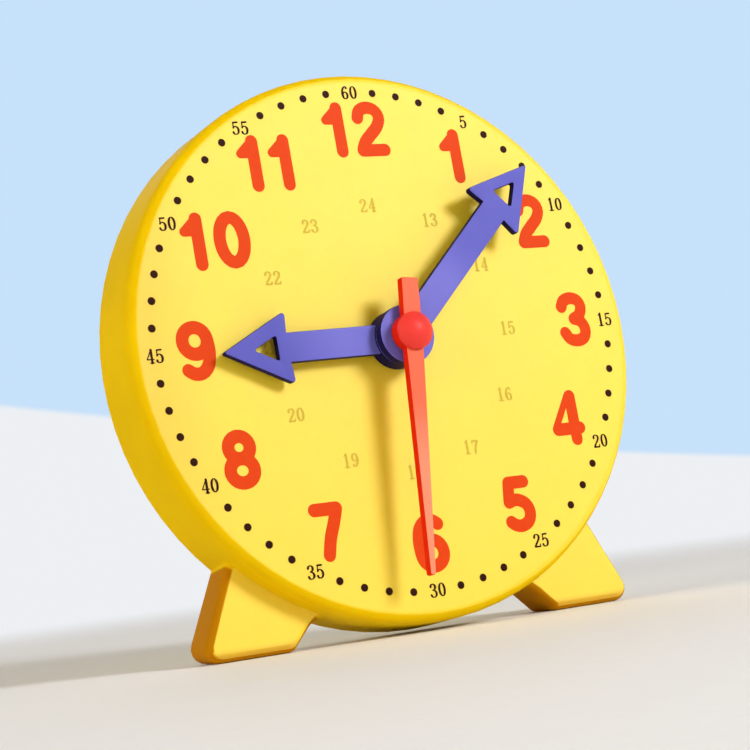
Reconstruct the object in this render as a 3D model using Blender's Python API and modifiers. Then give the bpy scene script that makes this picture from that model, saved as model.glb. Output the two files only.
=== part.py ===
"""Geared teaching clock: a round case on two feet, three linked hands and the wheel train behind the dial.

Everything is modelled in the clock's own frame (x to the viewer's right, y towards twelve, z out of the
dial towards the viewer, zero at the dial's face on the hands' axis) and parented to an empty that leans
the clock back and stands it on the floor. Lengths are in metres.
"""

import math

import bmesh
import bpy
from mathutils import Matrix, Vector

# Case
CASE_RADIUS = 0.0508
CASE_DEPTH = 0.0142
CASE_WALL = 0.0019
CASE_TAPER = 0.00015
DIAL_THICKNESS = 0.0018
FACE_EDGE_RADIUS = 0.0021
REAR_EDGE_RADIUS = 0.0008
CORNER_FILLET = 0.0010
LEAN = math.radians(5.0)

# Clearances
RUNNING_GAP = 0.0003
SEAT_GAP = 0.0002
LAYER_GAP = 0.0004
OVERRUN = 0.0010

# Feet
FOOT_DROP = 0.0011
FOOT_SETBACK = 0.0050
FOOT_REAR_INSET = 0.0002
FOOT_OUTER_SOLE = 0.0446
FOOT_INNER_SOLE = 0.0268
FOOT_OUTER_NECK = math.radians(46.5)
FOOT_INNER_NECK = math.radians(24.8)
FOOT_NECK_SPREAD = math.radians(8.0)
FOOT_NECK_INSET = 0.0002
FOOT_ROOT_DEPTH = 0.0068
FOOT_OUTER_CORNER = 0.0026
FOOT_INNER_CORNER = 0.0018
FOOT_NECK_FILLET = 0.0016
FOOT_INNER_NECK_FILLET = 0.0045
FOOT_EDGE_RADIUS = 0.0015
FOOT_REAR_EDGE_SHARE = 0.35
FOOT_DRAFT = 0.0006

# Arbors, pipes and posts
SECOND_ARBOR_RADIUS = 0.0010
THIRD_ARBOR_RADIUS = 0.0010
MOTION_POST_RADIUS = 0.0010
MINUTE_PIPE_WALL = 0.0008
HOUR_PIPE_WALL = 0.0008
POST_SEAT_DEPTH = 0.0010
ARBOR_SEAT_DEPTH = 0.0006

# Wheel train: teeth, spacing of the axes, and thicknesses as shares of the room behind the dial
CENTRE_TEETH = 64
THIRD_TEETH = 60
TRAIN_PINION_TEETH = 8
CANNON_TEETH = 12
MOTION_TEETH = 36
MOTION_PINION_TEETH = 10
HOUR_TEETH = 40
TRAIN_SPACING = 0.0180
MOTION_SPACING = 0.0144
HOUR_WHEEL_SHARE = 7 / 53
MOTION_WHEEL_SHARE = 7 / 53
CENTRE_WHEEL_SHARE = 6 / 53
THIRD_WHEEL_SHARE = 6 / 53
PINION_OVERLAP = 0.0001
TOOTH_PLAY = 0.00008
PRESSURE_ANGLE = math.radians(25.0)
ADDENDUM_SHARE = 0.80
DEDENDUM_SHARE = 1.10
PINION_SHIFT_SHARE = 0.30
SPOKE_COUNT = 5
WHEEL_RIM = 0.0022
WHEEL_HUB = 0.0022
SPOKE_WIDTH = 0.0022

# Gear plate
PLATE_SHARE = 6 / 53
PLATE_SIDE_MARGIN = 0.0025
PLATE_TOP_MARGIN = 0.0056
PLATE_BOTTOM_MARGIN = 0.0045
PLATE_CORNER = 0.0040
PLATE_SCREW_SIDE_INSET = 0.0035
PLATE_SCREW_TOP_INSET = 0.0100
PLATE_SCREW_BOTTOM_INSET = 0.0085
PLATE_BOSS_RADIUS = 0.0024
PLATE_SCREW_RADIUS = 0.0008
PLATE_SCREW_GRIP_SHARE = 2 / 3
PLATE_HEAD_RADIUS = 0.0017
PLATE_HEAD_HEIGHT = 0.0009

# Back cover and its screws
COVER_THICKNESS = 0.0018
COVER_EDGE = 0.0004
COVER_SCREW_INSET = 0.0069
COVER_SCREW_COUNT = 4
COVER_SCREW_PHASE = math.radians(45.0)
COVER_BOSS_RADIUS = 0.0028
COVER_SCREW_RADIUS = 0.0011
COVER_SCREW_GRIP_SHARE = 35 / 53
COVER_HEAD_RADIUS = 0.0022
COVER_HEAD_HEIGHT = 0.0008
BEARING_BOSS_RADIUS = 0.0026
SCREW_POINT = 0.0006
SLOT_WIDTH = 0.0005
SLOT_DEPTH = 0.0004

# Knob
KNOB_RADIUS = 0.0078
KNOB_HEIGHT = 0.0062
KNOB_FLUTES = 18
KNOB_FLUTE_DEPTH = 0.0005
KNOB_EDGE = 0.0008
KNOB_SEAT_DEPTH = 0.0048

# Hands: heights of their faces above the dial, lengths from the axis, and rest angles from twelve
HOUR_ANGLE = math.radians(269.7)
HOUR_LENGTH = 0.0348
HOUR_FACE = 0.0030
HOUR_HUB_RADIUS = 0.0053
HOUR_HUB_RISE = 0.0004
HOUR_WINDOW_TIP = 0.0058
MINUTE_ANGLE = math.radians(46.1)
MINUTE_LENGTH = 0.0438
MINUTE_FACE = 0.0055
MINUTE_HUB_RADIUS = 0.0054
MINUTE_HUB_RISE = 0.0001
MINUTE_WINDOW_TIP = 0.0047
HAND_THICKNESS = 0.0016
HAND_ARM_WIDTH = 0.0053
HAND_HEAD_LENGTH = 0.0128
HAND_HEAD_WIDTH = 0.0131
HAND_BARB_SWEEP = 0.0003
HAND_WINDOW_LENGTH = 0.0046
HAND_WINDOW_WIDTH = 0.0046
HAND_BARB_CORNER = 0.0005
HAND_TIP_CORNER = 0.0003
HAND_EDGE = 0.00018
SECOND_ANGLE = math.radians(186.3)
SECOND_LENGTH = 0.0432
SECOND_TAIL = 0.0098
SECOND_FACE = 0.0080
SECOND_THICKNESS = 0.0018
SECOND_HUB_RADIUS = 0.0034
SECOND_HUB_DROP = 0.0003
SECOND_HUB_WIDTH = 0.0036
SECOND_TAIL_WIDTH = 0.0033
SECOND_TIP_WIDTH = 0.0010
CAP_RADIUS = 0.0034
CAP_RIM = 0.0006
CAP_HEIGHT = 0.0022
CAP_GRIP = 0.0006
CAP_SEAT_GAP = 0.00006
PIPE_TIP_INSET = 0.0002

# Fineness of the round surfaces
CASE_STEPS = 72
HUB_STEPS = 32
SMALL_STEPS = 16
SCREW_STEPS = 12
CORNER_STEPS = 3
FLUTE_STEPS = 4
WHEEL_FLANK_STEPS = 1
PINION_FLANK_STEPS = 2
HAND_EDGE_STEPS = 1
FOOT_EDGE_STEPS = 2
FOOT_CORNER_STEPS = 5
MERGE_DISTANCE = 0.000001
SMOOTH_ANGLE = math.radians(35.0)

# Levels behind the dial, worked out from the case's depth
DIAL_BACK = -DIAL_THICKNESS
COVER_BACK = -CASE_DEPTH
COVER_FRONT = COVER_BACK + COVER_THICKNESS
INNER_ROOM = DIAL_BACK - COVER_FRONT
HOUR_WHEEL_THICKNESS = INNER_ROOM * HOUR_WHEEL_SHARE
MOTION_WHEEL_THICKNESS = INNER_ROOM * MOTION_WHEEL_SHARE
PLATE_THICKNESS = INNER_ROOM * PLATE_SHARE
CENTRE_WHEEL_THICKNESS = INNER_ROOM * CENTRE_WHEEL_SHARE
THIRD_WHEEL_THICKNESS = INNER_ROOM * THIRD_WHEEL_SHARE
HOUR_WHEEL_FRONT = DIAL_BACK - RUNNING_GAP
HOUR_WHEEL_BACK = HOUR_WHEEL_FRONT - HOUR_WHEEL_THICKNESS
MOTION_WHEEL_FRONT = HOUR_WHEEL_BACK - LAYER_GAP
MOTION_WHEEL_BACK = MOTION_WHEEL_FRONT - MOTION_WHEEL_THICKNESS
PLATE_FRONT = MOTION_WHEEL_BACK - LAYER_GAP
PLATE_BACK = PLATE_FRONT - PLATE_THICKNESS
CENTRE_WHEEL_FRONT = PLATE_BACK - RUNNING_GAP
CENTRE_WHEEL_BACK = CENTRE_WHEEL_FRONT - CENTRE_WHEEL_THICKNESS
THIRD_WHEEL_FRONT = CENTRE_WHEEL_BACK - LAYER_GAP
THIRD_WHEEL_BACK = THIRD_WHEEL_FRONT - THIRD_WHEEL_THICKNESS
BEARING_FRONT = THIRD_WHEEL_BACK - LAYER_GAP - PINION_OVERLAP

# Level of the soles below the hands' axis
SOLE_LEVEL = CASE_RADIUS + FOOT_DROP

# Gear plate and screws, worked out from the spacing of the axes and the case
PLATE_HALF_WIDTH = TRAIN_SPACING + PLATE_SIDE_MARGIN
PLATE_TOP = MOTION_SPACING + PLATE_TOP_MARGIN
PLATE_BOTTOM = TRAIN_SPACING + PLATE_BOTTOM_MARGIN
PLATE_SCREW_X = PLATE_HALF_WIDTH - PLATE_SCREW_SIDE_INSET
PLATE_SCREW_TOP = PLATE_TOP - PLATE_SCREW_TOP_INSET
PLATE_SCREW_BOTTOM = PLATE_BOTTOM - PLATE_SCREW_BOTTOM_INSET
PLATE_SCREW_GRIP = (DIAL_BACK - PLATE_FRONT) * PLATE_SCREW_GRIP_SHARE
COVER_SCREW_CIRCLE = CASE_RADIUS - CASE_WALL - COVER_SCREW_INSET
COVER_SCREW_GRIP = INNER_ROOM * COVER_SCREW_GRIP_SHARE

# Radii that run in one another round the hands' axis
MINUTE_PIPE_BORE = SECOND_ARBOR_RADIUS + RUNNING_GAP
MINUTE_PIPE_RADIUS = MINUTE_PIPE_BORE + MINUTE_PIPE_WALL
HOUR_PIPE_BORE = MINUTE_PIPE_RADIUS + RUNNING_GAP
HOUR_PIPE_RADIUS = HOUR_PIPE_BORE + HOUR_PIPE_WALL
DIAL_HOLE_RADIUS = HOUR_PIPE_RADIUS + RUNNING_GAP

# Gear modules, worked out from the spacing of the axes
CENTRE_MODULE = 2 * TRAIN_SPACING / (CENTRE_TEETH + TRAIN_PINION_TEETH)
THIRD_MODULE = 2 * TRAIN_SPACING / (THIRD_TEETH + TRAIN_PINION_TEETH)
CANNON_MODULE = 2 * MOTION_SPACING / (CANNON_TEETH + MOTION_TEETH)
HOUR_MODULE = 2 * MOTION_SPACING / (MOTION_PINION_TEETH + HOUR_TEETH)

# Axes away from the hands' axis
THIRD_AXIS = Vector((0, -TRAIN_SPACING))
MOTION_AXIS = Vector((0, MOTION_SPACING))
UP = math.pi / 2
DOWN = -math.pi / 2


# Materials

def finish(name, colour, roughness, metallic=0.0):
    """A plain surface of one colour."""
    material = bpy.data.materials.new(name)
    material.use_nodes = True
    shader = material.node_tree.nodes["Principled BSDF"]
    shader.inputs["Base Color"].default_value = (*colour, 1.0)
    shader.inputs["Roughness"].default_value = roughness
    shader.inputs["Metallic"].default_value = metallic
    material.diffuse_color = (*colour, 1.0)
    return material


# Building blocks

def arc(centre, radius, start, end, steps):
    """Points along an arc, both ends included."""
    turns = [start + (end - start) * step / steps for step in range(steps + 1)]
    return [Vector((centre[0] + radius * math.cos(a), centre[1] + radius * math.sin(a))) for a in turns]


def circle(centre, radius, steps):
    """Points round a circle."""
    return arc(centre, radius, 0, 2 * math.pi * (steps - 1) / steps, steps - 1)


def rounded(corners, steps=CORNER_STEPS):
    """An outline from (point, radius) corners, each one rounded by an arc of that radius."""
    outline = []
    for index, (corner, radius) in enumerate(corners):
        here = Vector(corner)
        before = (Vector(corners[index - 1][0]) - here).normalized()
        after = (Vector(corners[(index + 1) % len(corners)][0]) - here).normalized()
        if not radius:
            outline.append(here)
            continue
        half = before.angle(after) / 2
        centre = here + (before + after).normalized() * radius / math.sin(half)
        first = here + before * radius / math.tan(half) - centre
        last = here + after * radius / math.tan(half) - centre
        sweep = first.angle_signed(last)
        for step in range(steps + 1):
            outline.append(centre + Matrix.Rotation(-sweep * step / steps, 2) @ first)
    return outline


def new_object(name, mesh):
    """An object in the clock's collection."""
    body = bpy.data.objects.new(name, mesh)
    PARTS.objects.link(body)
    return body


def freeze(body):
    """Puts an object's modifiers into its mesh."""
    bpy.context.view_layer.update()
    evaluated = body.evaluated_get(bpy.context.evaluated_depsgraph_get())
    mesh = bpy.data.meshes.new_from_object(evaluated)
    old = body.data
    body.modifiers.clear()
    body.data = mesh
    bpy.data.meshes.remove(old)
    return body


def turned(name, profile, steps, closed=False):
    """A body turned round z from (radius, height) points that run down its outer side."""
    mesh = bpy.data.meshes.new(name)
    points = [(radius, 0, height) for radius, height in profile]
    edges = [(i, i + 1) for i in range(len(points) - 1)]
    if closed:
        edges.append((len(points) - 1, 0))
    mesh.from_pydata(points, edges, [])
    body = new_object(name, mesh)
    screw = body.modifiers.new("turn", 'SCREW')
    screw.steps = steps
    screw.render_steps = steps
    screw.use_merge_vertices = True
    screw.merge_threshold = MERGE_DISTANCE
    return freeze(body)


def slab(name, outlines, low, high, edge=0.0, edge_steps=HAND_EDGE_STEPS):
    """A flat body between two heights, its edges rounded. Every outline after the first is a hole."""
    curve = bpy.data.curves.new(name, 'CURVE')
    curve.dimensions = '2D'
    curve.fill_mode = 'BOTH'
    curve.extrude = (high - low) / 2 - edge
    curve.bevel_depth = edge
    curve.offset = -edge
    curve.bevel_resolution = edge_steps
    for outline in outlines:
        spline = curve.splines.new('POLY')
        spline.points.add(len(outline) - 1)
        for point, (x, y) in zip(spline.points, outline):
            point.co = (x, y, 0, 1)
        spline.use_cyclic_u = True
    flat = new_object(name, curve)
    flat.location.z = (high + low) / 2
    bpy.context.view_layer.update()
    evaluated = flat.evaluated_get(bpy.context.evaluated_depsgraph_get())
    mesh = bpy.data.meshes.new_from_object(evaluated)
    mesh.transform(flat.matrix_world)
    bpy.data.objects.remove(flat)
    bpy.data.curves.remove(curve)
    welded = bmesh.new()
    welded.from_mesh(mesh)
    bmesh.ops.remove_doubles(welded, verts=welded.verts, dist=MERGE_DISTANCE)
    bmesh.ops.recalc_face_normals(welded, faces=welded.faces)
    welded.to_mesh(mesh)
    welded.free()
    return new_object(name, mesh)


def rod(name, centre, radius, low, high, steps=SMALL_STEPS):
    """A round bar along z between two heights."""
    mesh = bpy.data.meshes.new(name)
    bar = bmesh.new()
    middle = Matrix.Translation((centre[0], centre[1], (high + low) / 2))
    bmesh.ops.create_cone(bar, cap_ends=True, segments=steps, radius1=radius, radius2=radius,
                          depth=high - low, matrix=middle)
    bar.to_mesh(mesh)
    bar.free()
    return new_object(name, mesh)


def combine(body, tool, operation):
    """Joins a tool to a body or cuts it out of it, and removes the tool."""
    change = body.modifiers.new("combine", 'BOOLEAN')
    change.operation = operation
    change.solver = 'EXACT'
    change.object = tool
    freeze(body)
    bpy.data.objects.remove(tool)
    return body


def join(body, tool):
    """One body from two that meet."""
    return combine(body, tool, 'UNION')


def cut(body, tool):
    """A body with a tool's shape cut out."""
    return combine(body, tool, 'DIFFERENCE')


def tidy(body, material):
    """Gives a body its material and shades its round sides smooth."""
    body.data.materials.clear()
    body.data.materials.append(material)
    body.data.shade_smooth()
    body.data.set_sharp_from_angle(angle=SMOOTH_ANGLE)
    return body


def hold(carrier, *bodies):
    """Parents bodies to an empty, which keeps their shape in the clock's frame."""
    for body in bodies:
        body.parent = carrier


def axis(name, centre, turn=0.0):
    """An empty on the axis of a moving piece, turned clockwise as the viewer sees it."""
    empty = bpy.data.objects.new(name, None)
    PARTS.objects.link(empty)
    empty.location = (centre[0], centre[1], 0)
    empty.rotation_euler.z = -turn
    empty.parent = STAND
    return empty


# Gears

def involute(angle):
    """The involute function of a pressure angle."""
    return math.tan(angle) - angle


def gear_outline(teeth, module, shift_share, phase, flank_steps):
    """The outline of an involute gear about the origin, with one tooth's middle at the phase angle."""
    pitch = module * teeth / 2
    base = pitch * math.cos(PRESSURE_ANGLE)
    tip = pitch + module * (ADDENDUM_SHARE + shift_share)
    root = pitch - module * (DEDENDUM_SHARE - shift_share)
    thickness = module * (math.pi / 2 + 2 * shift_share * math.tan(PRESSURE_ANGLE)) - TOOTH_PLAY
    start = max(base, root)
    radii = [start + (tip - start) * step / flank_steps for step in range(flank_steps + 1)]
    flank = [(r, thickness / (2 * pitch) + involute(PRESSURE_ANGLE) - involute(math.acos(base / r)))
             for r in radii]
    if root < base:
        flank.insert(0, (root, flank[0][1]))
    outline = []
    for tooth in range(teeth):
        middle = phase + 2 * math.pi * tooth / teeth
        rising = [(r, middle - half) for r, half in flank]
        falling = [(r, middle + half) for r, half in reversed(flank)]
        outline += [Vector((r * math.cos(a), r * math.sin(a))) for r, a in rising + falling]
    return outline


def facing(teeth, direction, gap):
    """The phase that turns a tooth, or the gap between two, towards a direction."""
    return direction + (math.pi / teeth if gap else 0.0)


def windows(pitch_radius, hub_radius):
    """The openings between a wheel's spokes."""
    outer = pitch_radius - WHEEL_RIM
    inner = hub_radius + WHEEL_HUB
    half = SPOKE_WIDTH / 2
    openings = []
    for spoke in range(SPOKE_COUNT):
        start = 2 * math.pi * spoke / SPOKE_COUNT
        end = start + 2 * math.pi / SPOKE_COUNT
        far = [start + math.asin(half / outer), end - math.asin(half / outer)]
        near = [start + math.asin(half / inner), end - math.asin(half / inner)]
        opening = arc((0, 0), outer, far[0], far[1], 2 * CORNER_STEPS)
        opening += arc((0, 0), inner, near[1], near[0], CORNER_STEPS)
        openings.append(opening)
    return openings


def wheel(name, teeth, module, phase, bore, low, high):
    """A large spoked gear whose teeth are set in, to mesh with a pinion that is set out."""
    outline = gear_outline(teeth, module, -PINION_SHIFT_SHARE, phase, WHEEL_FLANK_STEPS)
    body = slab(name, [outline] + windows(module * teeth / 2, bore), low, high)
    return cut(body, rod("bore", (0, 0), bore, low - OVERRUN, high + OVERRUN, HUB_STEPS))


def pinion(name, teeth, module, phase, bore, low, high):
    """A small gear whose teeth are set out."""
    outline = gear_outline(teeth, module, PINION_SHIFT_SHARE, phase, PINION_FLANK_STEPS)
    return slab(name, [outline, circle((0, 0), bore, SMALL_STEPS)], low, high)


# Case

def case_profile():
    """The outside of the case, from the middle of the dial to the middle of the back."""
    front = CASE_RADIUS - CASE_TAPER
    face_edge = arc((front - FACE_EDGE_RADIUS, -FACE_EDGE_RADIUS), FACE_EDGE_RADIUS, UP, 0, 2 * CORNER_STEPS)
    rear_edge = arc((CASE_RADIUS - REAR_EDGE_RADIUS, -CASE_DEPTH + REAR_EDGE_RADIUS), REAR_EDGE_RADIUS,
                    0, DOWN, CORNER_STEPS)
    return [(0, 0)] + face_edge + rear_edge + [(0, -CASE_DEPTH)]


def cavity_profile():
    """The hollow behind the dial, open at the back."""
    inner = CASE_RADIUS - CASE_WALL
    corner = arc((inner - CORNER_FILLET, DIAL_BACK - CORNER_FILLET), CORNER_FILLET, UP, 0, CORNER_STEPS)
    return [(0, DIAL_BACK)] + corner + [(inner, -CASE_DEPTH - OVERRUN), (0, -CASE_DEPTH - OVERRUN)]


def sole_height(z):
    """The height of the floor in the clock's frame, at a distance z in front of the dial."""
    return -SOLE_LEVEL - (z + FOOT_SETBACK) * math.tan(LEAN)


def below(angle, radius):
    """A point at an angle from straight down and a distance from the hands' axis."""
    return (radius * math.sin(angle), -radius * math.cos(angle))


def foot_outline():
    """The right foot seen from the front, its root hidden in the case's wall."""
    neck = CASE_RADIUS - FOOT_NECK_INSET
    root = CASE_RADIUS - FOOT_ROOT_DEPTH
    inner = FOOT_INNER_NECK - FOOT_NECK_SPREAD
    outer = FOOT_OUTER_NECK + FOOT_NECK_SPREAD
    return rounded([(below(inner, root), 0), (below(inner, neck), 0),
                    (below(FOOT_INNER_NECK, neck), FOOT_INNER_NECK_FILLET),
                    ((FOOT_INNER_SOLE, -SOLE_LEVEL), FOOT_INNER_CORNER),
                    ((FOOT_OUTER_SOLE, -SOLE_LEVEL), FOOT_OUTER_CORNER),
                    (below(FOOT_OUTER_NECK, neck), FOOT_NECK_FILLET),
                    (below(outer, neck), 0), (below(outer, root), 0)], FOOT_CORNER_STEPS)


def foot(side):
    """One foot, on the right for side 1 and on the left for side -1, its sole level with the floor."""
    front = -FOOT_SETBACK
    rear = -CASE_DEPTH + FOOT_REAR_INSET
    outline = [Vector((side * point.x, point.y)) for point in foot_outline()]
    body = slab("foot", [outline], rear, front, FOOT_EDGE_RADIUS, FOOT_EDGE_STEPS)
    root = -CASE_RADIUS * math.cos(FOOT_OUTER_NECK)
    middle = (FOOT_INNER_SOLE + FOOT_OUTER_SOLE) / 2
    for vertex in body.data.vertices:
        if vertex.co.z < (front + rear) / 2:
            vertex.co.z = rear + (vertex.co.z - rear) * FOOT_REAR_EDGE_SHARE
        drop = max((vertex.co.y - root) / (-SOLE_LEVEL - root), 0)
        vertex.co.y += (sole_height(vertex.co.z) + SOLE_LEVEL) * drop
        if side * vertex.co.x > middle:
            vertex.co.x -= side * FOOT_DRAFT * (front - vertex.co.z) / (front - rear)
    return body


def plate_screw_places():
    """Where the gear plate is screwed to the dial's back."""
    return [(side * PLATE_SCREW_X, y) for y in (PLATE_SCREW_TOP, -PLATE_SCREW_BOTTOM) for side in (-1, 1)]


def cover_screw_places():
    """Where the back cover is screwed to the case."""
    turns = [COVER_SCREW_PHASE + 2 * math.pi * n / COVER_SCREW_COUNT for n in range(COVER_SCREW_COUNT)]
    return [(COVER_SCREW_CIRCLE * math.cos(a), COVER_SCREW_CIRCLE * math.sin(a)) for a in turns]


def case_shell(material):
    """Dial, rim and feet in one moulding, with screw bosses on the dial's back."""
    body = turned("case_shell", case_profile(), CASE_STEPS)
    for side in (-1, 1):
        join(body, foot(side))
    cut(body, turned("cavity", cavity_profile(), CASE_STEPS))
    rooted = DIAL_BACK + DIAL_THICKNESS / 2
    plate_seat = PLATE_FRONT + SEAT_GAP
    for place in plate_screw_places():
        join(body, rod("boss", place, PLATE_BOSS_RADIUS, plate_seat, rooted))
        hole = PLATE_SCREW_RADIUS + SEAT_GAP
        bottom = PLATE_FRONT + PLATE_SCREW_GRIP + SCREW_POINT
        cut(body, rod("hole", place, hole, plate_seat - OVERRUN, bottom))
    cover_seat = COVER_FRONT + SEAT_GAP
    for place in cover_screw_places():
        join(body, rod("boss", place, COVER_BOSS_RADIUS, cover_seat, rooted))
        hole = COVER_SCREW_RADIUS + SEAT_GAP
        bottom = COVER_FRONT + COVER_SCREW_GRIP + SCREW_POINT
        cut(body, rod("hole", place, hole, cover_seat - OVERRUN, bottom))
    cut(body, rod("hands_hole", (0, 0), DIAL_HOLE_RADIUS, DIAL_BACK - OVERRUN, OVERRUN, HUB_STEPS))
    cut(body, rod("post_seat", MOTION_AXIS, MOTION_POST_RADIUS + SEAT_GAP, DIAL_BACK - OVERRUN,
                  DIAL_BACK + POST_SEAT_DEPTH))
    return tidy(body, material)


def screws(name, places, radius, tip, seat, head_radius, head_height, material):
    """Slotted screws along z, heads to the back, all sharing one shape."""
    shape = [(0, tip), (radius - SCREW_POINT / 2, tip), (radius, tip - SCREW_POINT), (radius, seat),
             (head_radius, seat), (head_radius, seat - head_height), (0, seat - head_height)]
    first = turned(name, shape, SCREW_STEPS)
    back = seat - head_height
    reach = head_radius + OVERRUN
    half = SLOT_WIDTH / 2
    slot = [Vector(corner) for corner in ((-reach, -half), (reach, -half), (reach, half), (-reach, half))]
    cut(first, slab("slot", [slot], back - OVERRUN, back + SLOT_DEPTH))
    shared = tidy(first, material).data
    bpy.data.objects.remove(first)
    row = []
    for index, place in enumerate(places):
        screw = new_object(name + "_" + str(index + 1), shared)
        screw.location = (place[0], place[1], 0)
        row.append(screw)
    return row


def gear_plate(material):
    """The plate that holds the wheels to the dial's back."""
    right, left = PLATE_HALF_WIDTH, -PLATE_HALF_WIDTH
    corners = [((right, -PLATE_BOTTOM), PLATE_CORNER), ((right, PLATE_TOP), PLATE_CORNER),
               ((left, PLATE_TOP), PLATE_CORNER), ((left, -PLATE_BOTTOM), PLATE_CORNER)]
    holes = [circle((0, 0), MINUTE_PIPE_RADIUS + RUNNING_GAP, SMALL_STEPS),
             circle(MOTION_AXIS, MOTION_POST_RADIUS + SEAT_GAP, SMALL_STEPS),
             circle(THIRD_AXIS, THIRD_ARBOR_RADIUS + RUNNING_GAP, SMALL_STEPS)]
    for place in plate_screw_places():
        holes.append(circle(place, PLATE_SCREW_RADIUS + SEAT_GAP, SMALL_STEPS))
    return tidy(slab("gear_plate", [rounded(corners)] + holes, PLATE_BACK, PLATE_FRONT), material)


def back_cover(material):
    """The disc that closes the case, with the rear bearings of two arbors."""
    radius = CASE_RADIUS - CASE_WALL - RUNNING_GAP
    rim = [(0, COVER_FRONT), (radius, COVER_FRONT), (radius, COVER_BACK + COVER_EDGE),
           (radius - COVER_EDGE, COVER_BACK), (0, COVER_BACK)]
    body = turned("back_cover", rim, CASE_STEPS)
    rooted = COVER_FRONT - COVER_THICKNESS / 2
    for centre in ((0, 0), THIRD_AXIS):
        join(body, rod("bearing", centre, BEARING_BOSS_RADIUS, rooted, BEARING_FRONT))
    cut(body, rod("second_bearing", (0, 0), SECOND_ARBOR_RADIUS + RUNNING_GAP,
                  COVER_FRONT - ARBOR_SEAT_DEPTH, BEARING_FRONT + OVERRUN))
    cut(body, rod("third_bearing", THIRD_AXIS, THIRD_ARBOR_RADIUS + RUNNING_GAP,
                  COVER_BACK - OVERRUN, BEARING_FRONT + OVERRUN))
    for place in cover_screw_places():
        cut(body, rod("screw_hole", place, COVER_SCREW_RADIUS + SEAT_GAP, COVER_BACK - OVERRUN,
                      COVER_FRONT + OVERRUN))
        cut(body, rod("head_seat", place, COVER_HEAD_RADIUS + RUNNING_GAP, COVER_BACK - OVERRUN,
                      COVER_BACK + COVER_HEAD_HEIGHT + SEAT_GAP))
    return tidy(body, material)


# Wheel train

def pipe(name, bore, radius, low, high, material):
    """A plain tube on the hands' axis."""
    body = turned(name, [(radius, high), (radius, low), (bore, low), (bore, high)], HUB_STEPS, closed=True)
    return tidy(body, material)


def hour_wheel(material):
    """The wheel that carries the hour hand, with its pipe through the dial."""
    outline = gear_outline(HOUR_TEETH, HOUR_MODULE, -PINION_SHIFT_SHARE, facing(HOUR_TEETH, UP, gap=True),
                           WHEEL_FLANK_STEPS)
    holes = windows(HOUR_MODULE * HOUR_TEETH / 2, HOUR_PIPE_RADIUS)
    body = slab("hour_wheel", [outline] + holes, HOUR_WHEEL_BACK, HOUR_WHEEL_FRONT)
    top = HOUR_FACE + HOUR_HUB_RISE - PIPE_TIP_INSET
    rooted = HOUR_WHEEL_BACK + HOUR_WHEEL_THICKNESS / 2
    join(body, rod("pipe", (0, 0), HOUR_PIPE_RADIUS, rooted, top, HUB_STEPS))
    cut(body, rod("bore", (0, 0), HOUR_PIPE_BORE, HOUR_WHEEL_BACK - OVERRUN, top + OVERRUN, HUB_STEPS))
    return tidy(body, material)


def placed(body, centre, material):
    """A piece moved to its axis in the clock's frame."""
    body.data.transform(Matrix.Translation((centre[0], centre[1], 0)))
    return tidy(body, material)


def knob(material):
    """The fluted knob behind the cover, which turns the third arbor."""
    front = COVER_BACK - LAYER_GAP
    points = FLUTE_STEPS * KNOB_FLUTES
    outline = []
    for index in range(points):
        turn = 2 * math.pi * index / points
        radius = KNOB_RADIUS - KNOB_FLUTE_DEPTH * (1 - math.cos(KNOB_FLUTES * turn)) / 2
        outline.append(Vector((radius * math.cos(turn), radius * math.sin(turn))))
    body = slab("knob", [outline], front - KNOB_HEIGHT, front, KNOB_EDGE)
    cut(body, rod("seat", (0, 0), THIRD_ARBOR_RADIUS + SEAT_GAP, front - KNOB_SEAT_DEPTH, front + OVERRUN))
    return placed(body, THIRD_AXIS, material)


# Hands

def hand_outline(length, root):
    """An arrow that points to twelve, its arm starting at the root's distance from the axis."""
    arm = HAND_ARM_WIDTH / 2
    barb = HAND_HEAD_WIDTH / 2
    notch = length - HAND_HEAD_LENGTH
    neck = notch + HAND_BARB_SWEEP
    return rounded([((arm, root), 0), ((arm, neck), 0), ((barb, notch), HAND_BARB_CORNER),
                    ((0, length), HAND_TIP_CORNER), ((-barb, notch), HAND_BARB_CORNER), ((-arm, neck), 0),
                    ((-arm, root), 0)])


def hand_window(length, from_tip):
    """The triangular opening in an arrow's head."""
    far = length - from_tip
    near = far - HAND_WINDOW_LENGTH
    half = HAND_WINDOW_WIDTH / 2
    return rounded([((0, far), HAND_TIP_CORNER), ((-half, near), HAND_TIP_CORNER),
                    ((half, near), HAND_TIP_CORNER)])


def hub(radius, low, high):
    """A round boss with a softened front edge."""
    edge = arc((radius - HAND_EDGE, high - HAND_EDGE), HAND_EDGE, UP, 0, 2)
    return turned("hub", [(0, high)] + edge + [(radius, low), (0, low)], HUB_STEPS)


def arrow_hand(name, length, window_tip, face, hub_radius, hub_low, hub_high, bore, material):
    """An hour or minute hand: arm, arrow head with its opening, and hub."""
    outlines = [hand_outline(length, bore / 2), hand_window(length, window_tip)]
    body = slab(name, outlines, face - HAND_THICKNESS, face, HAND_EDGE)
    join(body, hub(hub_radius, hub_low, hub_high))
    cut(body, rod("bore", (0, 0), bore, hub_low - OVERRUN, hub_high + OVERRUN, HUB_STEPS))
    return tidy(body, material)


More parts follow.
